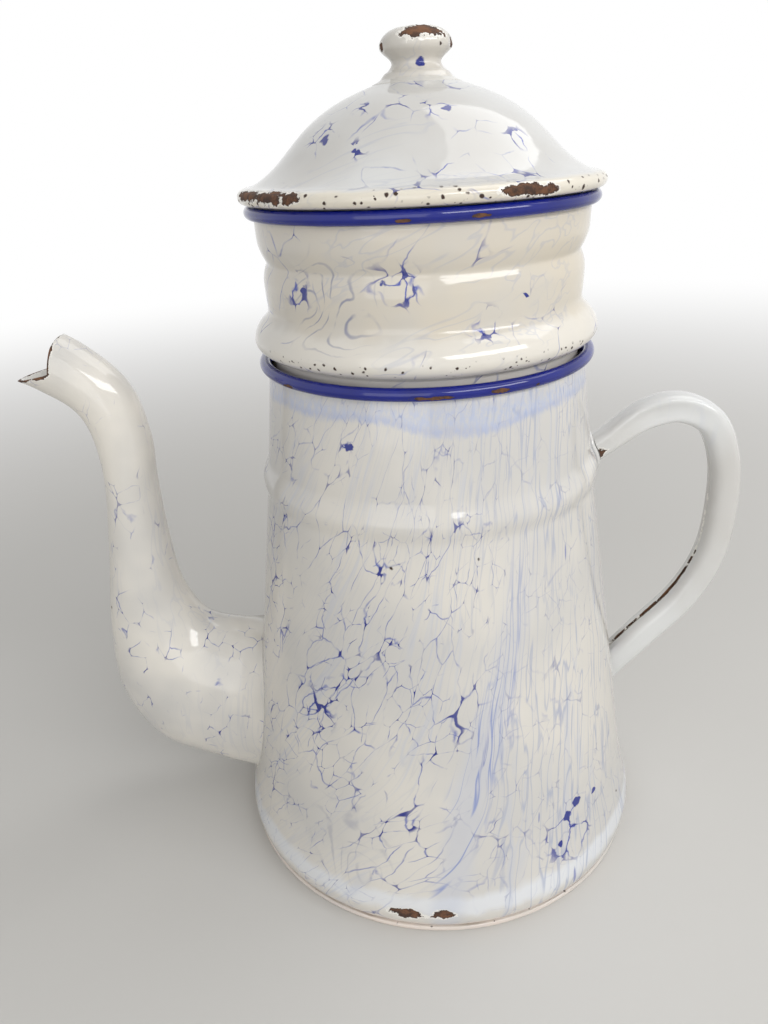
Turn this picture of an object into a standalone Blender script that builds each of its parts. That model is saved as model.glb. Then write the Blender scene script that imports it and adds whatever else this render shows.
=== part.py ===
"""Enamelled drip coffee pot: a conical pot, a filter chamber standing in its mouth, and a domed lid.

The sheet-metal pieces are drawn as the middle line of their sheet and thickened, so that a rim is a real
curl rolled round a real wire. Sizes are in millimetres here and become metres when a mesh is made.
The pot's axis is Z, its flat underside is at Z = 0, the handle points to +X and the spout to -X.
"""

import math

import bmesh
import bpy
from mathutils import Vector

MM = 0.001
SEGMENTS = 30  # facets round the axis, the same for every turned piece so that nested facets line up

# Sheet, wires and fits
SHEET = 1.0  # steel sheet with both coats of enamel
ROLL_SHEET = 0.6  # sheet where it is rolled round a wire
FIT = 0.3  # air between pieces that touch
SLIDE_FIT = 0.35  # air round a piece that is pushed into another

# Pot
FOOT_RADIUS = 68.3  # foot flange of the pressed base
FOOT_HEIGHT = 2.0
SWELL_PROUD = 1.7  # how far the widest part, just above the foot, stands out past the foot
SWELL_Z = 7.5
FLARE_Z = 28.0  # height where the swell has run out into the cone
CONE_BASE_RADIUS = 69.7  # cone carried down to the table
BEAD_Z = 131.5  # stiffening bead rolled into the cone
BEAD_CONE_RADIUS = 50.9
BEAD_PROUD = 1.5
BEAD_HALF_HEIGHT = 6.0
MOUTH_RADIUS = 46.1  # clear mouth of the pot
POT_RIM_Z = 166.7  # middle of the wired rim
POT_ROLL = 1.75  # outer radius of the rolled rim
BASE_SKIRT = 6.5  # height of the base's skirt inside the pot

# Filter chamber
CREASE_RISE = 2.2  # from the middle of the pot's rim up to the crease where the bulge turns in to the collar
CREASE_RADIUS = 44.2
BULGE_PROUD = 3.3  # how far the bulge stands out past the upper wall
BULGE_HEIGHT = 11.8
WALL_STEP = 1.3  # how far the wall between bulge and groove lies in from the upper wall
LEDGE_DEPTH = 2.2  # how far the groove reaches in from the upper wall, as a ledge for the spreader
GROOVE_RISE = 26.1  # from the crease up to the groove
GROOVE_BELOW = 4.5  # from the groove down to the wall
GROOVE_ABOVE = 5.0  # from the groove up to the upper wall
UPPER_TAPER = 0.3  # narrower at the groove than at the rim
UPPER_RADIUS = 46.8  # wall above the groove
FILTER_RIM_RISE = 39.5  # from the crease up to the middle of the wired rim
FILTER_ROLL = 1.75
COLLAR_CLEAR = 2.6  # from the pot's mouth in to the collar
COLLAR_DEPTH = 25.0  # from the crease down to the collar's turned-in lip
FIT_BEAD_DROP = 7.5  # from the crease down to the bead that grips the pot's mouth
LIP_WIDTH = 3.4

# Perforated plates
PLATE_THICK = 1.0
PLATE_HOLE = 2.6
PLATE_RINGS = 3
PLATE_PITCH = 11.0
SPREADER_HOLE = 3.2
SPREADER_RINGS = 2
SPREADER_PITCH = 14.5
SPREADER_RIM = 2.6
STEM_RADIUS = 2.2
STEM_LENGTH = 9.0
STEM_HEAD = 4.2
FINGER_RADIUS = 5.6
FINGER_HEIGHT = 6.4

# Lid
LID_OVERHANG = 1.2  # how far the lid's rim stands out past the chamber's
LID_ROLL = 1.9
DOME_RISE = 26.8  # crown above the middle of the rim
LID_COLLAR_DROP = 9.6  # how far the locating collar reaches below the rim's middle
LID_COLLAR_SHEET = 0.9
LID_COLLAR_FLANGE = 4.0  # inward flange that is welded under the dome
KNOB_RADIUS = 9.6
KNOB_NECK = 6.6
KNOB_FOOT = 10.6  # flared foot that lies on the dome
KNOB_FOOT_EDGE = 0.5
KNOB_HEIGHT = 11.6
RIVET_RADIUS = 2.0
RIVET_HEAD = 4.4
RIVET_HEAD_THICK = 1.4

# Spout
SPOUT_ROOT_LOW = 12.0
SPOUT_ROOT_HIGH = 70.5
SPOUT_ROOT_HALF = 20.5
SPOUT_NOTCH = (-114.0, 165.2)
SPOUT_LIP = (-111.9, 174.5)
SPOUT_TIP = (-127.6, 162.2)
STRAINER_HOLE = 4.6
STRAINER_PITCH = 8.4
DRILL_REACH = 5.0  # how far a cutter runs past what it cuts

# Handle
HANDLE_WIDTH = 10.6
HANDLE_DEPTH = 9.0
HANDLE_SLIT = 1.6
LUG_WIDTH = 15.0
LUG_LOW = 125.0
LUG_HIGH = 139.5
LUG_THICK = 1.2


def clear_scene():
    for item in list(bpy.data.objects):
        bpy.data.objects.remove(item, do_unlink=True)


def material(name, colour, metallic, roughness):
    made = bpy.data.materials.new(name)
    made.use_nodes = True
    shader = made.node_tree.nodes["Principled BSDF"]
    shader.inputs["Base Color"].default_value = (*colour, 1.0)
    shader.inputs["Metallic"].default_value = metallic
    shader.inputs["Roughness"].default_value = roughness
    return made


WHITE = (0.68, 0.68, 0.64)
STEEL = (0.42, 0.42, 0.42)
TIN = (0.55, 0.54, 0.50)


def add_object(name, mesh_data, colour, metallic, roughness):
    bmesh.ops.recalc_face_normals(mesh_data, faces=mesh_data.faces)
    mesh = bpy.data.meshes.new(name)
    mesh_data.to_mesh(mesh)
    mesh_data.free()
    for face in mesh.polygons:
        face.use_smooth = True
    made = bpy.data.objects.new(name, mesh)
    made.data.materials.append(material(name, colour, metallic, roughness))
    bpy.context.scene.collection.objects.link(made)
    return made


def cut(target, cutter):
    """Takes cutter out of target, and keeps the cutter out of renders."""
    step = target.modifiers.new("cut_" + cutter.name, "BOOLEAN")
    step.operation = "DIFFERENCE"
    step.solver = "EXACT"
    step.object = cutter
    cutter.hide_render = True
    cutter.display_type = "WIRE"


def arc(centre, radius, start, end, steps):
    """Points on a circle in the (r, z) plane, from start to end in degrees."""
    points = []
    for step in range(steps + 1):
        angle = math.radians(start + (end - start) * step / steps)
        points.append((centre[0] + radius * math.cos(angle), centre[1] + radius * math.sin(angle)))
    return points


def spline(points, steps):
    """Smooth curve through points of any number of dimensions, with steps from each point to the next."""
    made = []
    last = len(points) - 1
    for index in range(last):
        before = points[max(index - 1, 0)]
        after = points[min(index + 2, last)]
        for step in range(steps):
            t = step / steps
            point = []
            for a, b, c, d in zip(before, points[index], points[index + 1], after):
                bend = (2 * a - 5 * b + 4 * c - d) * t * t + (3 * b - a - 3 * c + d) * t * t * t
                point.append(b + ((c - a) * t + bend) / 2)
            made.append(tuple(point))
    return made + [tuple(points[last])]


def thicken(middle):
    """Closed outline of a sheet whose middle line is a list of (r, z, thickness)."""
    left = []
    right = []
    for index, (r, z, thick) in enumerate(middle):
        before = middle[max(index - 1, 0)]
        after = middle[min(index + 1, len(middle) - 1)]
        along = Vector((after[0] - before[0], after[1] - before[1])).normalized()
        side = Vector((-along.y, along.x)) * thick / 2
        left.append((r + side.x, z + side.y))
        right.append((r - side.x, z - side.y))
    return left + right[::-1]


def turn(name, outline, colour=WHITE, metallic=0.0, roughness=0.25, segments=SEGMENTS):
    """Solid of revolution of a closed (r, z) outline. A point at r = 0 becomes a single vertex."""
    body = bmesh.new()
    rings = []
    for r, z in outline:
        if r < 1e-6:
            rings.append([body.verts.new((0.0, 0.0, z * MM))] * segments)
            continue
        ring = []
        for step in range(segments):
            angle = 2 * math.pi * step / segments
            ring.append(body.verts.new((r * MM * math.cos(angle), r * MM * math.sin(angle), z * MM)))
        rings.append(ring)
    for index, lower in enumerate(rings):
        upper = rings[(index + 1) % len(rings)]
        for step in range(segments):
            following = (step + 1) % segments
            corners = [lower[step], lower[following], upper[following], upper[step]]
            corners = list(dict.fromkeys(corners))
            if len(corners) > 2:
                body.faces.new(corners)
    return add_object(name, body, colour, metallic, roughness)


def wire_ring(name, radius, z, wire):
    return turn(name, arc((radius, z), wire, 0, 300, 5), STEEL, 1.0, 0.4)


def wire_radius(roll):
    """Wire that leaves air all round inside a roll."""
    return roll - ROLL_SHEET - FIT


def prism(body, across, corners, low, high, place):
    """Adds a many-sided prism to body. place maps (u, v, w) in millimetres to a point."""
    ends = []
    for w in (low, high):
        ring = []
        for step in range(corners):
            angle = 2 * math.pi * (step + 0.5) / corners
            ring.append(body.verts.new(place(across / 2 * math.cos(angle), across / 2 * math.sin(angle), w)))
        ends.append(ring)
    body.faces.new(ends[0][::-1])
    body.faces.new(ends[1])
    for step in range(corners):
        following = (step + 1) % corners
        body.faces.new([ends[0][step], ends[0][following], ends[1][following], ends[1][step]])


def drill_rings(name, rings, pitch, across, low, high):
    """Cutter with six more holes in each ring outwards."""
    body = bmesh.new()
    for ring in range(1, rings + 1):
        for step in range(6 * ring):
            angle = 2 * math.pi * (step + 0.5 * (ring % 2)) / (6 * ring)
            x = ring * pitch * math.cos(angle)
            y = ring * pitch * math.sin(angle)
            prism(body, across, 6, low, high, lambda u, v, w: ((x + u) * MM, (y + v) * MM, w * MM))
    return add_object(name, body, STEEL, 0.0, 0.5)


# Pot: one sheet from the edge over the foot, up the swell, cone and bead, and rolled outwards round the wire.

SWELL_RADIUS = FOOT_RADIUS + SWELL_PROUD
ROLL_RADIUS = MOUTH_RADIUS + POT_ROLL  # middle of the rim wire, so that the roll's inside is the mouth
NECK_Z = POT_RIM_Z - POT_ROLL - 1.0


def cone_radius(z):
    """Outer radius of the plain cone, with neither the swell nor the bead."""
    neck = MOUTH_RADIUS + SHEET
    if z < BEAD_Z:
        return CONE_BASE_RADIUS + (BEAD_CONE_RADIUS - CONE_BASE_RADIUS) * z / BEAD_Z
    return BEAD_CONE_RADIUS + (neck - BEAD_CONE_RADIUS) * (z - BEAD_Z) / (NECK_Z - BEAD_Z)


def pot_outline():
    """Outer face of the pot from foot to neck, as (r, z)."""
    low = FOOT_HEIGHT + FIT
    points = [(FOOT_RADIUS - 0.2, low), (SWELL_RADIUS - 0.55, low + 0.4 * (SWELL_Z - low))]
    for share, rest in ((0.0, 1.0), (0.3, 0.9), (0.62, 0.52), (1.0, 0.0)):
        z = SWELL_Z + share * (FLARE_Z - SWELL_Z)
        points.append((cone_radius(z) + rest * (SWELL_RADIUS - cone_radius(SWELL_Z)), z))
    for share, proud in ((-1.0, 0.0), (-0.5, 0.62), (0.0, 1.0), (0.5, 0.66), (1.0, 0.0)):
        z = BEAD_Z + share * BEAD_HALF_HEIGHT
        points.append((cone_radius(z) + proud * BEAD_PROUD, z))
    points.append((cone_radius(NECK_Z), NECK_Z))
    return points


def outer_radius(z):
    """Outer radius of the pot at a height, read off its outline."""
    outline = pot_outline()
    for low, high in zip(outline, outline[1:]):
        if low[1] <= z <= high[1]:
            return low[0] + (high[0] - low[0]) * (z - low[1]) / (high[1] - low[1])
    return outline[-1][0]


def make_pot():
    middle = [(r - SHEET / 2, z, SHEET) for r, z in pot_outline()]
    for r, z in arc((ROLL_RADIUS, POT_RIM_Z), POT_ROLL - ROLL_SHEET / 2, 180, -100, 7):
        middle.append((r, z, ROLL_SHEET))
    pot = turn("pot_body", thicken(middle))
    strainer = bmesh.new()
    middle_z = (SPOUT_ROOT_LOW + SPOUT_ROOT_HIGH) / 2
    for row in range(-2, 3):
        for step in range(3 - abs(row) % 2):
            y = (step - (2 - abs(row) % 2) / 2) * STRAINER_PITCH
            z = middle_z + row * STRAINER_PITCH * 0.9
            prism(
                strainer,
                STRAINER_HOLE,
                6,
                -outer_radius(SPOUT_ROOT_LOW) - DRILL_REACH,
                -MOUTH_RADIUS,
                lambda u, v, w: (w * MM, (y + u) * MM, (z + v) * MM),
            )
    cut(pot, add_object("strainer_drill", strainer, STEEL, 0.0, 0.5))
    wire_ring("pot_rim_wire", ROLL_RADIUS, POT_RIM_Z, wire_radius(POT_ROLL))

    skirt = FOOT_RADIUS - 0.2 - SHEET - FIT  # outside of the skirt, inside the pot's lower edge
    turn(
        "pot_base",
        [
            (0.0, 0.0),
            (FOOT_RADIUS - 1.0, 0.0),
            (FOOT_RADIUS, 1.0),
            (FOOT_RADIUS - 0.4, FOOT_HEIGHT),
            (skirt, FOOT_HEIGHT),
            (skirt, BASE_SKIRT),
            (skirt - SHEET, BASE_SKIRT),
            (skirt - SHEET, SHEET + 1.6),
            (skirt - SHEET - 1.6, SHEET),
            (0.0, SHEET),
        ],
    )


# Filter chamber: a collar with a turned-in lip and a gripping bead, the bulge, a wall with a ledge, and a
# wired rim.

CREASE_Z = POT_RIM_Z + CREASE_RISE
GROOVE_Z = CREASE_Z + GROOVE_RISE
FILTER_RIM_Z = CREASE_Z + FILTER_RIM_RISE
COLLAR_RADIUS = MOUTH_RADIUS - COLLAR_CLEAR
BULGE_RADIUS = UPPER_RADIUS + BULGE_PROUD
WALL_RADIUS = UPPER_RADIUS - WALL_STEP
GROOVE_RADIUS = UPPER_RADIUS - LEDGE_DEPTH
FILTER_ROLL_RADIUS = UPPER_RADIUS - SHEET + FILTER_ROLL
LIP_Z = CREASE_Z - COLLAR_DEPTH


def make_filter():
    grip = MOUTH_RADIUS - SLIDE_FIT
    outer = [
        (COLLAR_RADIUS - LIP_WIDTH, LIP_Z + SHEET / 2),
        (COLLAR_RADIUS - SHEET / 2, LIP_Z + SHEET / 2),
        (COLLAR_RADIUS - SHEET / 2, LIP_Z + 8.0),
        (grip - SHEET / 2, CREASE_Z - FIT_BEAD_DROP - 2.0),
        (grip - SHEET / 2, CREASE_Z - FIT_BEAD_DROP + 1.5),
        (COLLAR_RADIUS - SHEET / 2, CREASE_Z - 3.0),
        (COLLAR_RADIUS - SHEET / 2, CREASE_Z - 0.4),
    ]
    for share, proud in ((0.05, 0.5), (0.16, 0.82), (0.4, 1.0), (0.66, 0.82), (0.85, 0.42), (1.0, 0.0)):
        start = CREASE_RADIUS if share < 0.4 else WALL_RADIUS
        radius = start + proud * (BULGE_RADIUS - start) - SHEET / 2
        outer.append((radius, CREASE_Z + share * BULGE_HEIGHT))
    groove_low = GROOVE_Z - GROOVE_BELOW
    outer += [
        (WALL_RADIUS + 0.2 - SHEET / 2, groove_low),
        (GROOVE_RADIUS - SHEET / 2, GROOVE_Z),
        (UPPER_RADIUS - UPPER_TAPER - SHEET / 2, GROOVE_Z + GROOVE_ABOVE),
        (UPPER_RADIUS - SHEET / 2, FILTER_RIM_Z - FILTER_ROLL - 1.0),
    ]
    middle = [(r, z, SHEET) for r, z in outer]
    for r, z in arc((FILTER_ROLL_RADIUS, FILTER_RIM_Z), FILTER_ROLL - ROLL_SHEET / 2, 180, -100, 7):
        middle.append((r, z, ROLL_SHEET))
    turn("filter_chamber", thicken(middle))
    wire_ring("filter_rim_wire", FILTER_ROLL_RADIUS, FILTER_RIM_Z, wire_radius(FILTER_ROLL))

    low = LIP_Z + SHEET + FIT
    radius = COLLAR_RADIUS - SHEET - FIT
    plate = turn(
        "filter_plate",
        [(0.0, low), (radius, low), (radius, low + PLATE_THICK), (0.0, low + PLATE_THICK)],
    )
    span = (low - DRILL_REACH, low + PLATE_THICK + DRILL_REACH)
    cut(plate, drill_rings("plate_drill", PLATE_RINGS, PLATE_PITCH, PLATE_HOLE, *span))


# Spreader: a perforated dish on the chamber's ledge, with a stem riveted through it and a finger knob.


def make_spreader():
    slope = (UPPER_RADIUS - UPPER_TAPER - GROOVE_RADIUS) / GROOVE_ABOVE
    radius = (GROOVE_RADIUS + UPPER_RADIUS) / 2 - SHEET - FIT
    low = GROOVE_Z + (radius + SHEET + 2 * FIT - GROOVE_RADIUS) / slope
    top = low + PLATE_THICK
    dish = turn(
        "spreader_disc",
        [
            (STEM_RADIUS + FIT, low),
            (radius - 0.6, low),
            (radius, low + 0.6),
            (radius, low + SPREADER_RIM),
            (radius - PLATE_THICK, low + SPREADER_RIM),
            (radius - PLATE_THICK, top),
            (STEM_RADIUS + FIT, top),
        ],
        TIN,
        1.0,
        0.45,
    )
    span = (low - DRILL_REACH, top + DRILL_REACH)
    cut(dish, drill_rings("spreader_drill", SPREADER_RINGS, SPREADER_PITCH, SPREADER_HOLE, *span))
    head = low - FIT
    turn(
        "spreader_stem",
        [
            (0.0, head - 1.0),
            (STEM_HEAD - 0.6, head - 1.0),
            (STEM_HEAD, head - 0.5),
            (STEM_HEAD, head),
            (STEM_RADIUS, head),
            (STEM_RADIUS, top + STEM_LENGTH),
            (0.0, top + STEM_LENGTH),
        ],
        TIN,
        1.0,
        0.4,
        12,
    )
    foot = top + FIT
    socket = STEM_RADIUS + FIT
    turn(
        "spreader_knob",
        [
            (socket, foot),
            (STEM_HEAD + 0.6, foot),
            (STEM_HEAD, foot + 2.0),
            (FINGER_RADIUS, foot + STEM_LENGTH - 1.4),
            (FINGER_RADIUS - 0.9, foot + STEM_LENGTH + FINGER_HEIGHT - 4.4),
            (0.0, foot + STEM_LENGTH + FINGER_HEIGHT - 3.6),
            (0.0, top + STEM_LENGTH + FIT),
            (socket, top + STEM_LENGTH + FIT),
        ],
        TIN,
        1.0,
        0.4,
        20,
    )


# Lid: a dome with a flared, wired rim, a locating collar inside the chamber, and a riveted knob.

LID_ROLL_RADIUS = FILTER_ROLL_RADIUS + FILTER_ROLL + LID_OVERHANG - LID_ROLL
RIM_REACH = FILTER_ROLL + LID_ROLL + SLIDE_FIT  # distance between the two rim wires when the lid is down
LID_RIM_Z = FILTER_RIM_Z + math.sqrt(RIM_REACH**2 - (LID_ROLL_RADIUS - FILTER_ROLL_RADIUS) ** 2)
CROWN_Z = LID_RIM_Z + DOME_RISE
# Dome as shares of the roll's radius and of the rise above the rim roll, flaring out near the rim.
DOME_SHARES = (
    (0.155, 1.0),
    (0.25, 0.925),
    (0.41, 0.815),
    (0.53, 0.69),
    (0.63, 0.545),
    (0.72, 0.375),
    (0.80, 0.22),
    (0.88, 0.10),
    (0.945, 0.03),
)
# Knob as shares of its height: how much of the foot's flare is left, of the grip's bulge, and of its radius.
KNOB_FLARE_SHARES = ((0.45, 0.05), (0.1, 0.13))
KNOB_GRIP_SHARES = ((0.0, 0.21), (0.33, 0.31), (0.8, 0.43), (1.0, 0.55))
KNOB_TOP_SHARES = ((0.96, 0.70), (0.81, 0.85), (0.52, 0.955), (0.0, 1.0))
KNOB_BORE_SHARE = 0.6


def dome_height(share):
    low = LID_RIM_Z + LID_ROLL
    return low + share * (CROWN_Z - low)


def make_lid():
    middle = [(RIVET_RADIUS + FIT, CROWN_Z - SHEET / 2, SHEET)]
    for out, up in DOME_SHARES:
        middle.append((out * LID_ROLL_RADIUS, dome_height(up) - SHEET / 2, SHEET))
    for r, z in arc((LID_ROLL_RADIUS, LID_RIM_Z), LID_ROLL - ROLL_SHEET / 2, 80, -150, 6):
        middle.append((r, z, ROLL_SHEET))
    turn("lid_dome", thicken(middle))
    wire_ring("lid_rim_wire", LID_ROLL_RADIUS, LID_RIM_Z, wire_radius(LID_ROLL))

    radius = UPPER_RADIUS - SHEET - SLIDE_FIT
    top = dome_height(DOME_SHARES[-1][1]) - SHEET - 2 * FIT
    low = LID_RIM_Z - LID_COLLAR_DROP
    turn(
        "lid_collar",
        [
            (radius, low),
            (radius, top),
            (radius - LID_COLLAR_FLANGE, top + FIT),
            (radius - LID_COLLAR_FLANGE, top - LID_COLLAR_SHEET + FIT),
            (radius - LID_COLLAR_SHEET, top - LID_COLLAR_SHEET),
            (radius - LID_COLLAR_SHEET, low),
        ],
    )

    foot = CROWN_Z + FIT
    socket = RIVET_RADIUS + FIT
    (flat, _), (slope_out, slope_up) = DOME_SHARES[:2]
    flat *= LID_ROLL_RADIUS
    fall = (CROWN_Z - dome_height(slope_up)) / (slope_out * LID_ROLL_RADIUS - flat)
    edge = foot - (KNOB_FOOT - flat) * fall
    outline = [(socket, foot), (flat, foot), (KNOB_FOOT, edge), (KNOB_FOOT, edge + KNOB_FOOT_EDGE)]
    flare = KNOB_FOOT - KNOB_NECK
    outline += [(KNOB_NECK + rest * flare, foot + up * KNOB_HEIGHT) for rest, up in KNOB_FLARE_SHARES]
    grip = KNOB_RADIUS - KNOB_NECK
    outline += [(KNOB_NECK + proud * grip, foot + up * KNOB_HEIGHT) for proud, up in KNOB_GRIP_SHARES]
    outline += [(KNOB_RADIUS * out, foot + up * KNOB_HEIGHT) for out, up in KNOB_TOP_SHARES]
    outline += [(0.0, foot + KNOB_BORE_SHARE * KNOB_HEIGHT), (socket, foot + KNOB_BORE_SHARE * KNOB_HEIGHT)]
    turn("lid_knob", outline, segments=24)
    head = CROWN_Z - SHEET - FIT
    turn(
        "lid_knob_rivet",
        [
            (0.0, head - RIVET_HEAD_THICK),
            (RIVET_HEAD * 0.6, head - RIVET_HEAD_THICK),
            (RIVET_HEAD, head - 0.3 * RIVET_HEAD_THICK),
            (RIVET_HEAD, head),
            (RIVET_RADIUS, head),
            (RIVET_RADIUS, foot + KNOB_BORE_SHARE * KNOB_HEIGHT - FIT),
            (0.0, foot + KNOB_BORE_SHARE * KNOB_HEIGHT - FIT),
        ],
        STEEL,
        1.0,
        0.4,
        12,
    )


# Spout: a root and a neck, each of two pressed halves welded in the mid-plane, lofted through oval sections.
# Each section is the x and z of its outer edge in the mid-plane, the x and z of its edge next to the pot, and
# its half width.

SPOUT_SECTIONS = (
    (-77.0, 13.6, -68.0, 71.2, 20.0),
    (-103.0, 24.6, -80.4, 75.4, 17.2),
    (-114.6, 45.0, -87.0, 88.0, 13.8),
    (-114.6, 72.0, -89.0, 107.0, 11.4),
    (-109.4, 104.0, -89.4, 127.0, 9.8),
    (-106.2, 132.0, -89.1, 144.0, 8.8),
    (-109.4, 149.8, -93.2, 160.2, 8.5),
    (-120.8, 159.0, -105.4, 172.6, 8.5),
    (-133.4, 165.0, -118.4, 179.8, 8.8),
)
SPOUT_STEPS = 2  # sections lofted from each of these to the next
SPOUT_CORNERS = 8  # facets round one half
SPOUT_SEAM = 8  # lofted section where the neck is welded to the root


def spout_arc(side, half):
    """Angle and distance across for each corner of one half, which stops short of the mid-plane."""
    for step in range(SPOUT_CORNERS + 1):
        angle = math.pi * step / SPOUT_CORNERS
        yield angle, side * (FIT / 2 + (half - FIT / 2) * math.sin(angle))


def spout_ring(section, side, shrink):
    """Points of one half of an oval section in millimetres, drawn in by shrink."""
    outer_x, outer_z, inner_x, inner_z, half = section
    middle = Vector(((outer_x + inner_x) / 2, 0.0, (outer_z + inner_z) / 2))
    reach = Vector(((outer_x - inner_x) / 2, 0.0, (outer_z - inner_z) / 2))
    reach = reach * (reach.length - shrink) / reach.length
    return [
        middle + reach * math.cos(angle) + Vector((0.0, across, 0.0))
        for angle, across in spout_arc(side, half - shrink)
    ]


def sheet_ring(section, side):
    """Outline of the sheet of one half: out along its outer face and back along its inner face."""
    return spout_ring(section, side, 0.0) + spout_ring(section, side, SHEET)[::-1]


def past(section, following, gap):
    """Section that stands the gap past one section on the way to the following one."""
    here, there = ((Vector(each[0:2]) + Vector(each[2:4])) / 2 for each in (section, following))
    share = gap / (there - here).length
    return tuple(start + (end - start) * share for start, end in zip(section, following))


def spout_root(side, shrink):
    """One half of the root laid on the pot's outer face, with air between them."""
    ring = []
    middle = (SPOUT_ROOT_LOW + SPOUT_ROOT_HIGH) / 2
    for angle, y in spout_arc(side, SPOUT_ROOT_HALF - shrink):
        z = middle - (middle - SPOUT_ROOT_LOW - shrink) * math.cos(angle)
        out = outer_radius(z) + FIT
        ring.append(Vector((-math.sqrt(out * out - y * y), y, z)))
    return ring


def loft(body, rings):
    """Joins closed rings of vertices with quads, without ends."""
    for first, second in zip(rings, rings[1:]):
        for step in range(len(first)):
            following = (step + 1) % len(first)
            body.faces.new([first[step], first[following], second[following], second[step]])


def cap_fold(body, ring):
    """Closes the end of a folded sheet, whose ring runs out along one face and back along the other."""
    half = len(ring) // 2
    for step in range(half - 1):
        body.faces.new([ring[step], ring[step + 1], ring[2 * half - 2 - step], ring[2 * half - 1 - step]])


def folded_sheet(name, rings):
    """Solid lofted through the rings of a folded sheet and closed at both ends."""
    body = bmesh.new()
    made = [[body.verts.new(point * MM) for point in ring] for ring in rings]
    loft(body, made)
    cap_fold(body, made[0])
    cap_fold(body, made[-1])
    return add_object(name, body, WHITE, 0.0, 0.25)


def mid_plane_cutter(name, outline, half_width):
    """Prism across the mid-plane with the given (x, z) outline."""
    body = bmesh.new()
    ends = []
    for y in (-half_width, half_width):
        ends.append([body.verts.new((x * MM, y * MM, z * MM)) for x, z in outline])
    body.faces.new(ends[0][::-1])
    body.faces.new(ends[1])
    loft(body, ends)
    return add_object(name, body, STEEL, 0.0, 0.5)


def make_spout():
    # The mouth is cut straight down from the lip to the notch, then out along the beak to a blunt tip.
    slope = (SPOUT_TIP[1] - SPOUT_NOTCH[1]) / (SPOUT_TIP[0] - SPOUT_NOTCH[0])
    rise = (SPOUT_LIP[0] - SPOUT_NOTCH[0]) / (SPOUT_LIP[1] - SPOUT_NOTCH[1])
    far = SPOUT_TIP[0] - 4 * DRILL_REACH
    top = SPOUT_LIP[1] + 4 * DRILL_REACH
    wide = SPOUT_ROOT_HALF + DRILL_REACH
    mouth = [
        SPOUT_NOTCH,
        (far, SPOUT_NOTCH[1] + slope * (far - SPOUT_NOTCH[0])),
        (far, top),
        (SPOUT_NOTCH[0] + rise * (top - SPOUT_NOTCH[1]), top),
    ]
    blunt = SPOUT_TIP[0]
    low = SPOUT_TIP[1] - 4 * DRILL_REACH
    tip = [(blunt, low), (far, low), (far, top), (blunt, top)]
    cutters = [mid_plane_cutter("mouth_cutter", mouth, wide), mid_plane_cutter("tip_cutter", tip, wide)]

    sections = spline(SPOUT_SECTIONS, SPOUT_STEPS)
    root = sections[: SPOUT_SEAM + 1]
    neck = [past(sections[SPOUT_SEAM], sections[SPOUT_SEAM + 1], FIT)] + sections[SPOUT_SEAM + 1 :]
    for name, side in (("left", -1), ("right", 1)):
        start = [spout_root(side, 0.0) + spout_root(side, SHEET)[::-1]]
        folded_sheet("spout_" + name, start + [sheet_ring(section, side) for section in root])
        half = folded_sheet("spout_neck_" + name, [sheet_ring(section, side) for section in neck])
        for cutter in cutters:
            cut(half, cutter)


# Handle: sheet folded into a tube with an open slit towards the pot, swept along its middle line, with its
# lower end landing on the pot and its upper end on a welded lug.

HANDLE_LINE = (
    (57.0, 136.3),
    (67.5, 143.5),
    (77.6, 145.5),
    (87.4, 140.8),
    (92.8, 129.0),
    (94.2, 112.0),
    (92.2, 94.0),
    (85.0, 78.6),
    (72.0, 63.2),
)
HANDLE_STEPS = 2  # sections swept from each of these points to the next
HANDLE_CORNERS = 10


def handle_section(scale):
    """Closed outline of the folded sheet as (outwards, across), with the slit on the inner side."""
    start = math.asin(HANDLE_SLIT / HANDLE_WIDTH)
    outline = []
    for shrink, order in ((0.0, 1), (SHEET, -1)):
        loop = []
        for step in range(HANDLE_CORNERS + 1):
            angle = start + (2 * math.pi - 2 * start) * step / HANDLE_CORNERS
            depth = (HANDLE_DEPTH / 2 * scale - shrink) * -math.cos(angle)
            width = (HANDLE_WIDTH / 2 - shrink) * math.sin(angle)
            loop.append((depth, width))
        outline += loop[::order]
    return outline


def land(point, along, gap):
    """Moves a point along a direction until it stands the gap off the pot's outer face."""
    low = -25.0
    high = 25.0
    for _ in range(50):
        middle = (low + high) / 2
        here = point + along * middle
        if math.hypot(here.x, here.y) > outer_radius(here.z) + gap:
            low = middle
        else:
            high = middle
    return point + along * low


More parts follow.
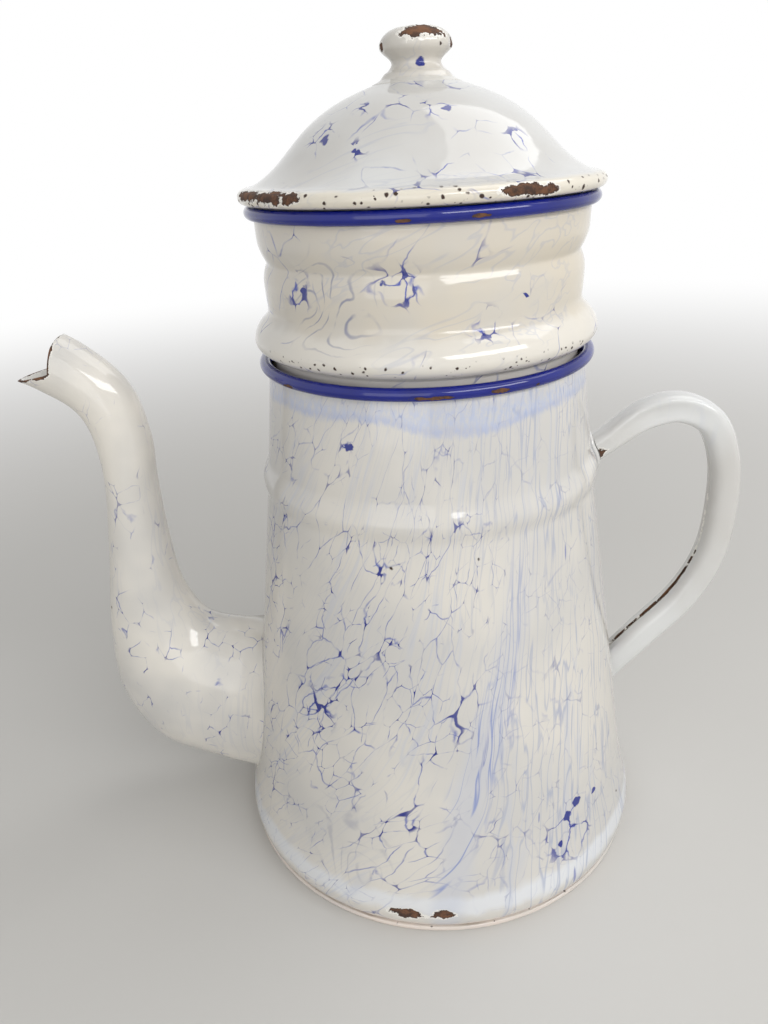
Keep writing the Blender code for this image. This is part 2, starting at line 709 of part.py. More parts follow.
def make_handle():
    body = bmesh.new()
    rings = []
    line = spline(HANDLE_LINE, HANDLE_STEPS)
    count = len(line)
    for index, (x, z) in enumerate(line):
        before = line[max(index - 1, 0)]
        after = line[min(index + 1, count - 1)]
        along = Vector((after[0] - before[0], 0.0, after[1] - before[1])).normalized()
        outward = Vector((-along.z, 0.0, along.x))
        scale = 0.8 + 0.2 * min(index / 3, 1.0)
        ring = []
        for depth, width in handle_section(scale):
            ring.append(Vector((x, width, z)) + outward * depth)
        if index == 0:
            rings.append([land(point, -along, LUG_THICK + 2 * FIT) for point in ring])
        rings.append(ring)
        if index == count - 1:
            rings.append([land(point, along, FIT) for point in ring])
    made = [[body.verts.new(point * MM) for point in ring] for ring in rings]
    loft(body, made)
    cap_fold(body, made[0])
    cap_fold(body, made[-1])
    add_object("handle", body, WHITE, 0.0, 0.25)

    lug = bmesh.new()
    rows = 5
    columns = 6
    layers = []
    for gap in (FIT, FIT + LUG_THICK):
        grid = []
        for row in range(rows + 1):
            z = LUG_LOW + (LUG_HIGH - LUG_LOW) * row / rows
            line = []
            for column in range(columns + 1):
                y = LUG_WIDTH * (column / columns - 0.5)
                out = outer_radius(z) + gap
                line.append(lug.verts.new((math.sqrt(out * out - y * y) * MM, y * MM, z * MM)))
            grid.append(line)
        layers.append(grid)
    for grid in layers:
        for row in range(rows):
            for column in range(columns):
                lug.faces.new(
                    [
                        grid[row][column],
                        grid[row][column + 1],
                        grid[row + 1][column + 1],
                        grid[row + 1][column],
                    ]
                )
    edges = []
    for grid in layers:
        edge = grid[0][:-1]
        edge += [line[-1] for line in grid[:-1]]
        edge += grid[-1][:0:-1]
        edge += [line[0] for line in grid[:0:-1]]
        edges.append(edge)
    loft(lug, edges)
    add_object("handle_lug", lug, WHITE, 0.0, 0.25)


clear_scene()
make_pot()
make_filter()
make_spreader()
make_lid()
make_spout()
make_handle()
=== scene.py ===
"""Looks of the enamelled drip coffee pot: fine shells, marbled enamel, blue rims, chips and rust.

Shapes are in millimetres and become metres when a mesh is made. Patterns of a finish are in metres, its
heights in millimetres. The pot's axis is Z, the handle points to +X and the spout to -X, as in the frame.
"""

import math
from functools import partialmethod

import bmesh
import bpy
import numpy as np
from mathutils import Matrix, Vector, noise


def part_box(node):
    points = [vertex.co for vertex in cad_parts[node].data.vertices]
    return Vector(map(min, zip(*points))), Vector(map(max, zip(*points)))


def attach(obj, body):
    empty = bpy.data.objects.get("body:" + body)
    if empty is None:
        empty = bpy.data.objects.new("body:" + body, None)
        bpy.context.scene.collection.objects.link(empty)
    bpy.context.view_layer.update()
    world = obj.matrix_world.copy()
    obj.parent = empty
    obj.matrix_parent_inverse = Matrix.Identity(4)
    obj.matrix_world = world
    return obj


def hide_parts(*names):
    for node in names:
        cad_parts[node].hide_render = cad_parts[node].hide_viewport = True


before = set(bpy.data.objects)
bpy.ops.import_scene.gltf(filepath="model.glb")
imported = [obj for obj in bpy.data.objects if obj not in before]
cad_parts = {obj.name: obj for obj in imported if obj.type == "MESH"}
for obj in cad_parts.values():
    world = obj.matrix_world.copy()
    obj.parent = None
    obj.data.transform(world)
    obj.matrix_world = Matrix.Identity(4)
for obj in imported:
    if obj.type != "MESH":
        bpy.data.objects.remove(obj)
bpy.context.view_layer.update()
MM = 0.001


# Sizes of the pot, those of the solids but for the foot's crease and flange and the bulge's crease

SHEET = 1.0
ROLL_SHEET = 0.6
GAP = 0.3
FOOT_RADIUS = 68.3
FOOT_HEIGHT = 2.0
FOOT_CREASE = 0.9
FOOT_PROUD = 0.8
SHELL_LOW = FOOT_HEIGHT + GAP
SWELL_RADIUS = 70.0
SWELL_Z = 7.5
FLARE_Z = 28.0
CONE_BASE_RADIUS = 69.7
BEAD_Z = 131.5
BEAD_CONE_RADIUS = 50.9
BEAD_PROUD = 1.5
BEAD_HALF_HEIGHT = 6.0
MOUTH_RADIUS = 46.1
POT_RIM_Z = 166.7
RIM_ROLL = 1.75
NECK_Z = POT_RIM_Z - RIM_ROLL - 1
POT_ROLL_RADIUS = MOUTH_RADIUS + RIM_ROLL

STRAINER_HOLE = 4.6
STRAINER_PITCH = 8.4
STRAINER_MIDDLE_Z = 41.25

CREASE_Z = 170.3
CREASE_RADIUS = 45.2
BULGE_RADIUS = 50.1
BULGE_Z = 173.6
BULGE_TOP_Z = 180.7
WALL_RADIUS = 45.5
GROOVE_RADIUS = 44.6
GROOVE_Z = 195.0
UPPER_RADIUS = 46.8
FILTER_RIM_Z = 208.4
FILTER_ROLL_RADIUS = UPPER_RADIUS - SHEET + RIM_ROLL
COLLAR_RADIUS = 43.5
GRIP_RADIUS = 45.75
GRIP_Z = 160.9
LIP_Z = 143.9
LIP_WIDTH = 3.4

LID_ROLL = 1.9
LID_ROLL_RADIUS = 48.6
LID_RIM_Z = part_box("lid_rim_wire")[0].z / MM + LID_ROLL - ROLL_SHEET - GAP
CROWN_Z = LID_RIM_Z + 26.8


# Outlines


def arc(centre, radius, start, end, steps):
    """Points on a circle in the (r, z) plane, from start to end in degrees."""
    angles = [math.radians(start + (end - start) * step / steps) for step in range(steps + 1)]
    return [(centre[0] + radius * math.cos(a), centre[1] + radius * math.sin(a)) for a in angles]


def rim_roll(radius, z, roll, start, end, steps):
    """Middle line of the sheet rolled round a rim's wire, as (r, z, thickness)."""
    return [(r, up, ROLL_SHEET) for r, up in arc((radius, z), roll - ROLL_SHEET / 2, start, end, steps)]


def flow(points, gap):
    """Smooth curve through points of any number of dimensions, with a point about every gap."""
    spots = [Vector(point) for point in points]
    spots = [2 * spots[0] - spots[1]] + spots + [2 * spots[-1] - spots[-2]]
    made = []
    for a, b, c, d in zip(spots, spots[1:], spots[2:], spots[3:]):
        ab, bc, cd = (max((q - p).length, 1e-6) ** 0.5 for p, q in ((a, b), (b, c), (c, d)))
        leave = ((b - a) / ab - (c - a) / (ab + bc) + (c - b) / bc) * bc
        arrive = ((c - b) / bc - (d - b) / (bc + cd) + (d - c) / cd) * bc
        steps = max(1, round((c - b).length / gap))
        for step in range(steps):
            t = step / steps
            bend = (-3 * b - 2 * leave + 3 * c - arrive) * t * t
            made.append(tuple(b + leave * t + bend + (2 * b + leave - 2 * c + arrive) * t**3))
    return made + [tuple(spots[-2])]


def sheet_outline(middle, plain=0):
    """Outline of a sheet given as the (r, z, thickness) of its middle line. The hidden face along the first
    plain points gets every fourth point only."""
    left = []
    right = []
    for index, (r, z, thick) in enumerate(middle):
        before = middle[max(index - 1, 0)]
        after = middle[min(index + 1, len(middle) - 1)]
        along = Vector((after[0] - before[0], after[1] - before[1])).normalized()
        left.append((r - along.y * thick / 2, z + along.x * thick / 2))
        right.append((r + along.y * thick / 2, z - along.x * thick / 2))
    return left[:plain:4] + left[plain:] + right[::-1]


def cone_radius(z):
    """Outer radius of the plain cone, with neither the swell nor the bead."""
    neck = MOUTH_RADIUS + SHEET
    if z < BEAD_Z:
        return CONE_BASE_RADIUS + (BEAD_CONE_RADIUS - CONE_BASE_RADIUS) * z / BEAD_Z
    return BEAD_CONE_RADIUS + (neck - BEAD_CONE_RADIUS) * (z - BEAD_Z) / (NECK_Z - BEAD_Z)


def pot_radius(z):
    """Outer radius of the pot at a height, with the swell above the foot and the bead."""
    if z < SWELL_Z:
        crease = FOOT_RADIUS - FOOT_CREASE
        rise = max(0, 1 - ((SWELL_Z - z) / (SWELL_Z - SHELL_LOW)) ** 2)
        return crease + (SWELL_RADIUS - crease) * math.sqrt(rise)
    radius = cone_radius(z)
    if z < FLARE_Z:
        share = ((z - SWELL_Z) / (FLARE_Z - SWELL_Z)) ** 0.88
        radius += (SWELL_RADIUS - cone_radius(SWELL_Z)) * (0.5 + 0.5 * math.cos(math.pi * share))
    away = abs(z - BEAD_Z) / BEAD_HALF_HEIGHT
    if away < 1:
        radius += BEAD_PROUD * (0.5 + 0.5 * math.cos(math.pi * away))
    return radius


# Nodes


class Field:
    """Output of a node: a number, place or colour that varies over a piece. Arithmetic adds nodes."""

    def __init__(self, tree, socket):
        self.tree = tree
        self.socket = socket

    def other(self, output):
        """Another output of the same node."""
        return Field(self.tree, self.socket.node.outputs[output])

    def to(self, kind, inputs=None, output=0, **settings):
        """Output of a new node that has this as its first input."""
        return put(self.tree, kind, {0: self, **(inputs or {})}, output, **settings)

    def math(self, operation, second=0):
        return self.to("Math", {1: second}, operation=operation)

    __add__ = partialmethod(math, "ADD")
    __sub__ = partialmethod(math, "SUBTRACT")
    __mul__ = partialmethod(math, "MULTIPLY")
    __truediv__ = partialmethod(math, "DIVIDE")
    __abs__ = partialmethod(math, "ABSOLUTE")


def put(tree, kind, inputs=None, output=0, **settings):
    """Adds a shader or geometry node, sets its properties and inputs, and gives one of its outputs."""
    shader = "ShaderNode" + kind
    made = tree.nodes.new(shader if hasattr(bpy.types, shader) else "GeometryNode" + kind)
    for key, value in settings.items():
        setattr(made, key, value)
    for key, value in (inputs or {}).items():
        if isinstance(value, Field):
            tree.links.new(value.socket, made.inputs[key])
        else:
            made.inputs[key].default_value = value
    return Field(tree, made.outputs[output])


def parts(place):
    """The three numbers of a place."""
    x = place.to("SeparateXYZ")
    return x, x.other(1), x.other(2)


def joined(x, y, z):
    """Place with three numbers."""
    return x.to("CombineXYZ", {1: y, 2: z})


def largest(first, *others):
    """The largest of several numbers."""
    for other in others:
        first = first.math("MAXIMUM", other)
    return first


# Trees that turn and drill the sheet


def new_tree(name, **inputs):
    """Geometry node tree with one geometry output, and a field for each of its named inputs."""
    tree = bpy.data.node_groups.new(name, "GeometryNodeTree")
    for label, kind in inputs.items():
        tree.interface.new_socket(label, in_out="INPUT", socket_type="NodeSocket" + kind)
    tree.interface.new_socket("Piece", in_out="OUTPUT", socket_type="NodeSocketGeometry")
    given = tree.nodes.new("NodeGroupInput")
    return tree, [Field(tree, given.outputs[label]) for label in inputs]


def end_tree(shape, finish):
    """Ends a tree in Realize Instances and Set Material."""
    whole = shape.to("RealizeInstances")
    finished = whole.to("SetMaterial", {"Material": finish})
    shape.tree.links.new(finished.socket, shape.tree.nodes.new("NodeGroupOutput").inputs[0])
    return shape.tree


def on_circle(radius, angle, z):
    """Place at a radius, an angle round Z and a height."""
    return joined(radius * angle.math("COSINE"), radius * angle.math("SINE"), z)


def turning_tree():
    """Turns an outline, given as a row of points in the XZ plane, about Z."""
    tree, given = new_tree("turned_sheet", Outline="Geometry", Facets="Int", Finish="Material")
    outline, facets, finish = given
    count = outline.to("AttributeDomainSize", output="Point Count")
    sizes = {"Size X": 1, "Size Y": 1, "Vertices X": facets + 1, "Vertices Y": count}
    grid = put(tree, "MeshGrid", sizes)
    where = put(tree, "InputPosition")
    across, up, _ = parts(where)
    row = ((up + 0.5) * (count - 1)).math("ROUND")
    sample = {"Geometry": outline, "Value": where, "Index": row}
    edge = put(tree, "SampleIndex", sample, data_type="FLOAT_VECTOR", domain="POINT")
    radius, _, z = parts(edge)
    place = on_circle(radius, (across + 0.5) * (2 * math.pi), z)
    moved = grid.to("SetPosition", {"Position": place})
    closed = moved.to("MergeByDistance", {"Distance": 2e-6})
    return end_tree(closed.to("SetShadeSmooth"), finish)


def drilling_tree(name, layout, depth, turn, solver):
    """Drills round holes, turned from the upright, through a blank. layout gives the place of each hole."""
    sizes = dict.fromkeys(("Pitch", "Width", "Middle", "Wall"), "Float")
    tree, given = new_tree(name, Blank="Geometry", Holes="Int", Finish="Material", **sizes)
    blank, holes, finish, pitch, width, middle, wall = given
    place = layout(put(tree, "InputIndex"), pitch, middle, wall)
    spots = holes.to("Points").to("SetPosition", {"Position": place})
    bit = put(tree, "MeshCylinder", {"Vertices": 24, "Radius": width * 0.5, "Depth": depth})
    bits = spots.to("InstanceOnPoints", {"Instance": bit, "Rotation": turn})
    drills = bits.to("RealizeInstances")
    cut = blank.to("MeshBoolean", {1: drills}, operation="DIFFERENCE", solver=solver)
    return end_tree(cut, finish)


def plate_layout(index, pitch, middle, _):
    """Rings of holes, six more in each ring outwards, in a level plate."""
    ring = ((index * (1 / 3) + 0.25).math("SQRT") + 0.5001).math("FLOOR")
    before = ring * 3 * (ring - 1)
    shift = ring.math("MODULO", 2) * 0.5
    angle = (index - before + shift) / ring * (2 * math.pi / 6)
    return on_circle(ring * pitch, angle, middle)


def strainer_layout(index, pitch, middle, wall):
    """Rows of three and two holes by turns in the wall behind the spout."""
    pair = (index * 0.2 + 0.01).math("FLOOR")
    rest = index - pair * 5
    short_row = rest.math("GREATER_THAN", 2.5)
    row = pair * 2 + (short_row - 2)
    step = rest - 1 - short_row * 2.5
    return joined(wall, step * pitch, middle + row * 0.9 * pitch)


TURNING = turning_tree()
DRILLING = drilling_tree("drilled_plate", plate_layout, 0.006, (0, 0, 0), "FLOAT")
STRAINING = drilling_tree("strainer", strainer_layout, 0.03, (0, math.pi / 2, 0), "MANIFOLD")


# Meshes


def show(name, data):
    """New object in the scene."""
    made = bpy.data.objects.new(name, data)
    bpy.context.scene.collection.objects.link(made)
    return made


def run_tree(mesh, tree, name, **values):
    """Plain mesh that a node tree makes of a mesh, with the inputs given by name."""
    holder = show(name + "_blank", mesh)
    step = holder.modifiers.new("nodes", "NODES")
    step.node_group = tree
    for item in tree.interface.items_tree:
        if item.name in values:
            step[item.identifier] = values[item.name]
    seen = holder.evaluated_get(bpy.context.evaluated_depsgraph_get())
    made = bpy.data.meshes.new_from_object(seen)
    holder.modifiers.remove(step)
    bpy.data.objects.remove(holder, do_unlink=True)
    made.name = name
    return made


def face_out(body, mesh):
    """Puts a bmesh into a mesh, with its faces turned outwards."""
    bmesh.ops.recalc_face_normals(body, faces=body.faces)
    body.to_mesh(mesh)
    body.free()
    mesh.shade_smooth()
    return mesh


def new_mesh(name, body, finish):
    """New mesh of a bmesh, with a finish."""
    mesh = face_out(body, bpy.data.meshes.new(name))
    mesh.materials.append(finish)
    return mesh


def turned(name, outline, facets, finish):
    """Mesh of an (r, z) outline in millimetres, closed and turned about Z."""
    row = bpy.data.meshes.new(name + "_outline")
    row.from_pydata([(r * MM, 0, z * MM) for r, z in outline + outline[:1]], [], [])
    made = run_tree(row, TURNING, name, Facets=facets, Finish=finish)
    body = bmesh.new()
    body.from_mesh(made)
    return face_out(body, made)


def drilled(name, outline, facets, finish, tree, sharp, holes, **sizes):
    """Turned blank drilled by a tree. Sizes are in millimetres. Edges over sharp degrees stay sharp."""
    blank = turned(name + "_blank", outline, facets, finish)
    sizes = {label: size * MM for label, size in sizes.items()}
    mesh = run_tree(blank, tree, name, Holes=holes, Finish=finish, **sizes)
    mesh.shade_smooth()
    mesh.set_sharp_from_angle(angle=math.radians(sharp))
    return mesh


def bridge(body, rings, closed):
    """Joins rings of points in millimetres, the last to the first too if closed, and gives their verts."""
    made = [[body.verts.new(Vector(point) * MM) for point in ring] for ring in rings]
    for first, second in zip(made, made[1:] + made[:1] if closed else made[1:]):
        for step in range(len(first)):
            following = (step + 1) % len(first)
            body.faces.new([first[step], first[following], second[following], second[step]])
    return made


def spots_of(mesh):
    """Vertex places in millimetres, and vertex normals."""
    place = np.zeros(len(mesh.vertices) * 3)
    mesh.vertices.foreach_get("co", place)
    facing = np.zeros(len(mesh.vertices) * 3)
    mesh.vertex_normals.foreach_get("vector", facing)
    return place.reshape(-1, 3) / MM, facing.reshape(-1, 3)


def keep_field(mesh, name, values):
    """Stores one number for each vertex, for a finish to read."""
    kept = mesh.attributes.get(name) or mesh.attributes.new(name, "FLOAT", "POINT")
    kept.data.foreach_set("value", np.asarray(values, np.float32))


def mark_outside(mesh, heart_z=None):
    """Stores 1 on a shell's outer face and 0 on its inner face, as seen from its heart on the axis."""
    place, facing = spots_of(mesh)
    away = place.copy()
    away[:, 2] = 0 if heart_z is None else place[:, 2] - heart_z
    keep_field(mesh, "outside", (away * facing).sum(1) > 0)


def chip(mesh, patches, depth):
    """Breaks enamel away and gives the bare field, which is above 0 inside a patch, where the surface sinks.
    A patch is its middle, its reach along, its reach up and how ragged it is."""
    place, facing = spots_of(mesh)
    bare = np.full(len(place), -1.0)
    for middle, along, up, ragged in patches:
        middle = np.array(middle)
        round_axis = np.array((-middle[1], middle[0], 0.0))
        round_axis /= np.linalg.norm(round_axis) + 1e-9
        offset = place - middle
        across = offset @ round_axis
        rest = offset - np.outer(across, round_axis)
        near = np.sqrt((across / along) ** 2 + ((rest / up) ** 2).sum(1))
        for index in np.nonzero(near < 1.8)[0]:
            here = Vector(place[index])
            rough = noise.noise(here * 0.55) + 0.5 * noise.noise(here * 1.7)
            bare[index] = max(bare[index], 1 - near[index] + ragged * rough)
    sink = np.clip((bare + 0.04) / 0.12, 0.0, 1.0)
    place -= facing * (depth * sink)[:, None]
    mesh.vertices.foreach_set("co", (place * MM).ravel())
    mesh.update()
    keep_field(mesh, "bare", bare)
    return bare


def piece(name, mesh, body, slot, *nodes):
    """Adds a piece that rides on a body and stands for its solids, by default the one named as its slot.
    Where nothing broke it, no enamel is bare."""
    if "bare" not in mesh.attributes:
        keep_field(mesh, "bare", np.full(len(mesh.vertices), -1.0))
    made = show(name, mesh)
    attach(made, body)
    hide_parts(*(nodes or [slot]))


# Colours


def srgb(red, green, blue):
    """Colour as it shows on a screen, from 0 to 255, for a socket."""
    def line(value):
        value /= 255
        return value / 12.92 if value <= 0.04045 else ((value + 0.055) / 1.055) ** 2.4
    return (line(red), line(green), line(blue), 1)


CREAM = srgb(220, 216, 208)
COOL_WHITE = srgb(219, 220, 219)
# The spout's cream, painted lighter than the pot's cream to make up for the shade the pot casts on it
SPOUT_CREAM_AND_PAINTED_LIGHT = srgb(236, 231, 221)
CHAMBER_CREAM = srgb(216, 207, 190)
KNOB_CREAM = srgb(217, 211, 200)
INSIDE_WHITE = srgb(226, 224, 217)
GREY_WHITE = srgb(204, 202, 198)
COBALT = srgb(2, 14, 100)
COBALT_LIGHT = srgb(8, 30, 146)
NAVY = srgb(42, 52, 134)
VEIN_BLUE = srgb(80, 97, 174)
WASH_BLUE = srgb(186, 193, 212)
HAZE_BLUE = srgb(172, 187, 222)
STREAK_BLUE = srgb(150, 160, 190)
BUNDLE_BLUE = srgb(136, 149, 196)
# Bluish white on the foot's upturned swell: a painted sky reflection
SWELL_PAINTED_REFLECTION = srgb(228, 232, 238)
FOOT_PINK = srgb(226, 214, 204)
RIM_CREAM = srgb(232, 223, 204)
# Pale undercoat at chip edges; also painted light on the chamber's bulge and the shaded collar strip under it
UNDERCOAT_AND_PAINTED_LIGHT = srgb(238, 235, 228)
RUST = srgb(116, 78, 52)
RUST_DARK = srgb(56, 39, 31)
COFFEE = srgb(168, 132, 92)
# Grey brown for the foot's crease: painted shade in the gap above the flange, with some grime
CREASE_SHADE_AND_GRIME = srgb(146, 130, 112)
STEEL_GREY = srgb(150, 146, 140)
TIN_GREY = srgb(184, 182, 176)
BLOT_BLUE = srgb(52, 72, 166)
CONTOUR_GREY = srgb(142, 144, 166)
FLOOR_GREY = srgb(206, 204, 200)
FLOOR_PALE = srgb(212, 211, 208)
WHITE = (1, 1, 1, 1)

# Places of the heavy blue marks, each a middle and a reach
POT_BLOTS = (((41, -52, 25), 14), ((-20.3, -44, 151), 4.5), ((-36, -48, 70), 9))
CHAMBER_BLOTS = (
    ((-32, -32, 190.5), 7), ((-23, -38.7, 193), 5),
    ((-5, -45, 192.5), 7), ((14.6, -43.6, 182.5), 6),
)
LID_BLOTS = (
    ((-24, -23, 225), 7), ((-15.1, -32.7, 222.5), 4.5), ((4, -25.5, 231), 6.5),
    ((-12.9, -21.7, 231.6), 4), ((5.4, -41.3, 217.5), 4), ((23.5, -26.1, 223.3), 5),
)
POT_DROPS = (
    ((-20.3, -44, 152.2), 1.3), ((43.2, -48.6, 33), 1.9), ((39.6, -51.9, 30.5), 1.5),
    ((37.6, -55.3, 22), 1.2), ((49.7, -42.2, 31), 1.1),
)
CHAMBER_DROPS = (((-30, -34.2, 190.4), 1.2), ((-9.3, -43.9, 193.5), 1.1), ((24.8, -38.2, 188.3), 0.9))
LID_DROPS = (((-23.1, -24.3, 224.9), 1.4), ((7.1, -26.4, 230.1), 1.2), ((-15.1, -32.7, 222.5), 1.1))
KNOB_DROPS = (((1.1, -6.8, 242.2), 1.3),)
POT_CONTOURS = (-27.7, -59.4, 28.9)
CHAMBER_CONTOURS = (-22, -38, 188)
HAZE_DIP = (9, -47, 160)


# Patterns


def fade(value, start, end, first=0, last=1):
    """Number that goes smoothly from first to last as another goes from start to end."""
    inputs = {1: start, 2: end, 3: first, 4: last}
    return value.to("MapRange", inputs, interpolation_type="SMOOTHSTEP")


def between(level, low, high, soft):
    """1 where a number is between two others, with soft ends."""
    return fade(level, low, low + soft) * fade(level, high, high - soft)


def tint(amount, under, over):
    """Colour over another by an amount."""
    return amount.to("Mix", {6: under, 7: over}, 2, data_type="RGBA")


def cloud(place, size, detail=2, rough=0.5, output="Fac"):
    """Soft noise from 0 to 1 with blots of about a size in metres."""
    inputs = {"Scale": 1 / size, "Detail": detail, "Roughness": rough}
    return place.to("TexNoise", inputs, output)


def shifted(place, size, reach, detail=2):
    """Place pushed about by noise, so that what is drawn there wanders."""
    push = cloud(place, size, detail, output="Color")
    centred = push.to("VectorMath", {1: (0.5, 0.5, 0.5)}, operation="SUBTRACT")
    scaled = centred.to("VectorMath", {"Scale": reach}, operation="SCALE")
    return place.to("VectorMath", {1: scaled}, operation="ADD")


def leaning(place, lean, offset=(0, 0, 0)):
    """Place whose third axis leans from the upright towards +X by degrees."""
    turn = (0, math.radians(-lean), 0)
    return place.to("Mapping", {"Rotation": turn, "Location": offset})


def drawn_out(place, stretch):
    """Place on which a pattern is drawn out along the third axis."""
    return place.to("Mapping", {"Scale": (1, 1, 1 / stretch)})


def around(place, middle, reach, core=0.35):
    """1 within the core share of a reach from a place in millimetres, fading to 0 at the reach."""
    spot = tuple(value * MM for value in middle)
    away = place.to("VectorMath", {1: spot}, "Value", operation="DISTANCE")
    return fade(away, reach * MM, core * reach * MM)


def near_any(place, spots, core=0.35):
    """1 near any of several spots, each a (middle, reach) in millimetres."""
    return largest(*[around(place, middle, reach, core) for middle, reach in spots])


def vein_net(place, cell, width, knot):
    """Thin lines, and the knots where three of them meet, larger where knot is nearer 1."""
    scale = {"Scale": 1 / cell}
    edge = place.to("TexVoronoi", scale, feature="DISTANCE_TO_EDGE")
    core = place.to("TexVoronoi", scale, feature="F1")
    rounded = place.to("TexVoronoi", {**scale, "Smoothness": knot}, feature="SMOOTH_F1")
    knots = fade(core - rounded, 0.145 * knot, 0.175 * knot) * fade(core, 0.28, 0.42)
    return fade(edge, width / cell, 0), knots


def specks(place, spacing, size, share):
    """Scattered dots of about a size in metres, on a share of the cells."""
    cells = place.to("TexVoronoi", {"Scale": 1 / spacing}, feature="F1")
    pick = cells.other("Color").to("SeparateColor")
    reach = (pick.other(1) * 0.7 + 0.5) * (size / spacing)
    return fade(cells, reach, reach * 0.55) * pick.math("LESS_THAN", share)


# Layers of marbling. In each, cover is the noise level above which it shows


def net(paint, flowed, long, cell, width, knot, cover, amount):
    """Paints a net of veins drawn out along a flow."""
    loose = shifted(shifted(flowed, 0.018, 0.01), 0.004, 0.0014)
    line, knots = vein_net(drawn_out(loose, long), cell, width, knot)
    shown = fade(cloud(drawn_out(flowed, 1.5), 2 * cell, 3, 0.6), cover, cover + 0.1) * amount
    faint = fade(cloud(loose, 0.6 * cell), 0.36, 0.62, 0.15, 0.8)
    dark = fade(cloud(flowed, 0.9 * cell, 1), 0.4, 0.52)
    return tint(knots * shown * dark, tint(line * shown * faint, paint, VEIN_BLUE), NAVY)


def streaks(paint, flowed, colour, fine, long, thin, cover, amount):
    """Paints bundles of fine streaks that run along a flow."""
    loose = shifted(flowed, 0.03, 0.006, 1)
    ridge = fade(abs(cloud(drawn_out(loose, long), fine, 1.5) - 0.5), thin, 0)
    bundle = fade(cloud(drawn_out(loose, 4), 0.016), cover, cover + 0.15)
    return tint(ridge * bundle * amount, paint, colour)


def dashes(paint, flowed, amount):
    """Paints short dark dashes along a flow."""
    loose = drawn_out(shifted(flowed, 0.02, 0.004, 1), 9)
    return tint(specks(loose, 0.0042, 0.0005, 0.4) * amount, paint, VEIN_BLUE)


def drops(paint, place, spots):
    """Paints solid dark drops with ragged edges."""
    loose = shifted(shifted(place, 0.005, 0.004), 0.0015, 0.0014)
    return tint(near_any(loose, spots, 0.7), paint, NAVY)


def blots(paint, place, spots, cell, width):
    """Paints heavy dark squiggles round a few places."""
    near = near_any(place, spots)
    loose = shifted(shifted(place, 0.008, 0.009), 0.002, 0.0012)
    line, knots = vein_net(loose, cell, width, 0.8)
    broken = fade(cloud(place, 0.007), 0.42, 0.54)
    return tint(knots * near, tint(line * near * broken, paint, BLOT_BLUE), NAVY)


def contours(paint, place, middle, reach, size, lines, amount):
    """Paints nested lines, like those of an agate, round a place in millimetres."""
    level = (cloud(shifted(place, 0.006, 0.002), size, 0) * lines).math("FRACT")
    ridge = fade(abs(level - 0.5), 0.13, 0.02)
    faint = fade(cloud(place, 0.005), 0.3, 0.6)
    return tint(ridge * faint * around(place, middle, reach) * amount, paint, CONTOUR_GREY)


# Marbling of each piece


def pot_flow(place):
    """Place sheared along the way the enamel ran, steep on the left and nearly upright on the right, and the
    same on the wall unrolled from the spout's line, for streaks that have to keep to the cone."""
    x, y, z = parts(place)
    shear = fade(x, -0.032, 0.026, 0.58, 0.1) * (z - 0.06)
    round_wall = y.math("ARCTAN2", x) * (BEAD_CONE_RADIUS * MM)
    return joined(x - shear, y, z), joined(round_wall - shear, 0, z)


def pot_marbling(paint, place):
    flowed, unrolled = pot_flow(place)
    x, _, z = parts(place)
    right = fade(x, -0.004, 0.034)
    hair = right * 0.44 + 0.1
    paint = streaks(paint, unrolled, WASH_BLUE, fine=0.004, long=16, thin=0.06, cover=0.46, amount=0.3)
    paint = streaks(paint, unrolled, STREAK_BLUE, fine=0.0026, long=16, thin=0.04, cover=0.34, amount=hair)
    paint = dashes(paint, unrolled, right * 0.6 + 0.05)

    # The long bundle of streaks that runs down the front to the foot
    middle = (z - 0.027) * 0.21 + 0.0059
    wander = cloud(place, 0.03, 1) * 0.01 - 0.005
    bundle = fade(abs(x - middle + wander), 0.008, 0.002) * fade(z, 0.145, 0.06)
    most = bundle * 0.9
    paint = tint(bundle * 0.35, paint, WASH_BLUE)
    paint = streaks(paint, unrolled, BUNDLE_BLUE, fine=0.0026, long=30, thin=0.035, cover=0.1, amount=most)
    paint = streaks(paint, unrolled, VEIN_BLUE, fine=0.0019, long=40, thin=0.018, cover=0.42, amount=most)

    sparse = (right * -0.72 + 1) * (bundle * -0.75 + 1)
    sparse = sparse * fade(z, 0.008, 0.026, 0.4, 1) * fade(z, 0.118, 0.15, 1, 0.55)
    crossed = leaning(flowed, 12, (0.3, 0.1, 0))
    paint = net(paint, flowed, long=2.2, cell=0.0082, width=0.00023, knot=0.45, cover=0.42, amount=sparse)
    paint = net(paint, crossed, long=1.3, cell=0.0056, width=0.00019, knot=0.5, cover=0.48, amount=sparse)
    paint = contours(paint, place, POT_CONTOURS, 20, size=0.018, lines=9, amount=0.35)
    paint = blots(paint, place, POT_BLOTS, cell=0.0085, width=0.00045)
    return drops(paint, place, POT_DROPS)


def spout_marbling(paint, place):
    flowed = leaning(place, 4)
    paint = streaks(paint, flowed, STREAK_BLUE, fine=0.0034, long=14, thin=0.04, cover=0.5, amount=0.14)
    flowed = leaning(place, 15, (0.1, 0.4, 0))
    low = fade(parts(place)[2], 0.135, 0.075, 0.45, 1)
    return net(paint, flowed, long=1.5, cell=0.0058, width=0.0002, knot=0.55, cover=0.5, amount=low)


def chamber_marbling(paint, place):
    flowed = leaning(place, 68)
    paint = streaks(paint, flowed, STREAK_BLUE, fine=0.0036, long=16, thin=0.04, cover=0.46, amount=0.25)
    paint = contours(paint, place, CHAMBER_CONTOURS, 17, size=0.016, lines=11, amount=0.9)
    flowed = leaning(place, 50, (0.2, 0.2, 0.1))
    paint = net(paint, flowed, long=1.8, cell=0.0115, width=0.00028, knot=0.5, cover=0.5, amount=0.9)
    paint = blots(paint, place, CHAMBER_BLOTS, cell=0.0085, width=0.00045)
    return drops(paint, place, CHAMBER_DROPS)


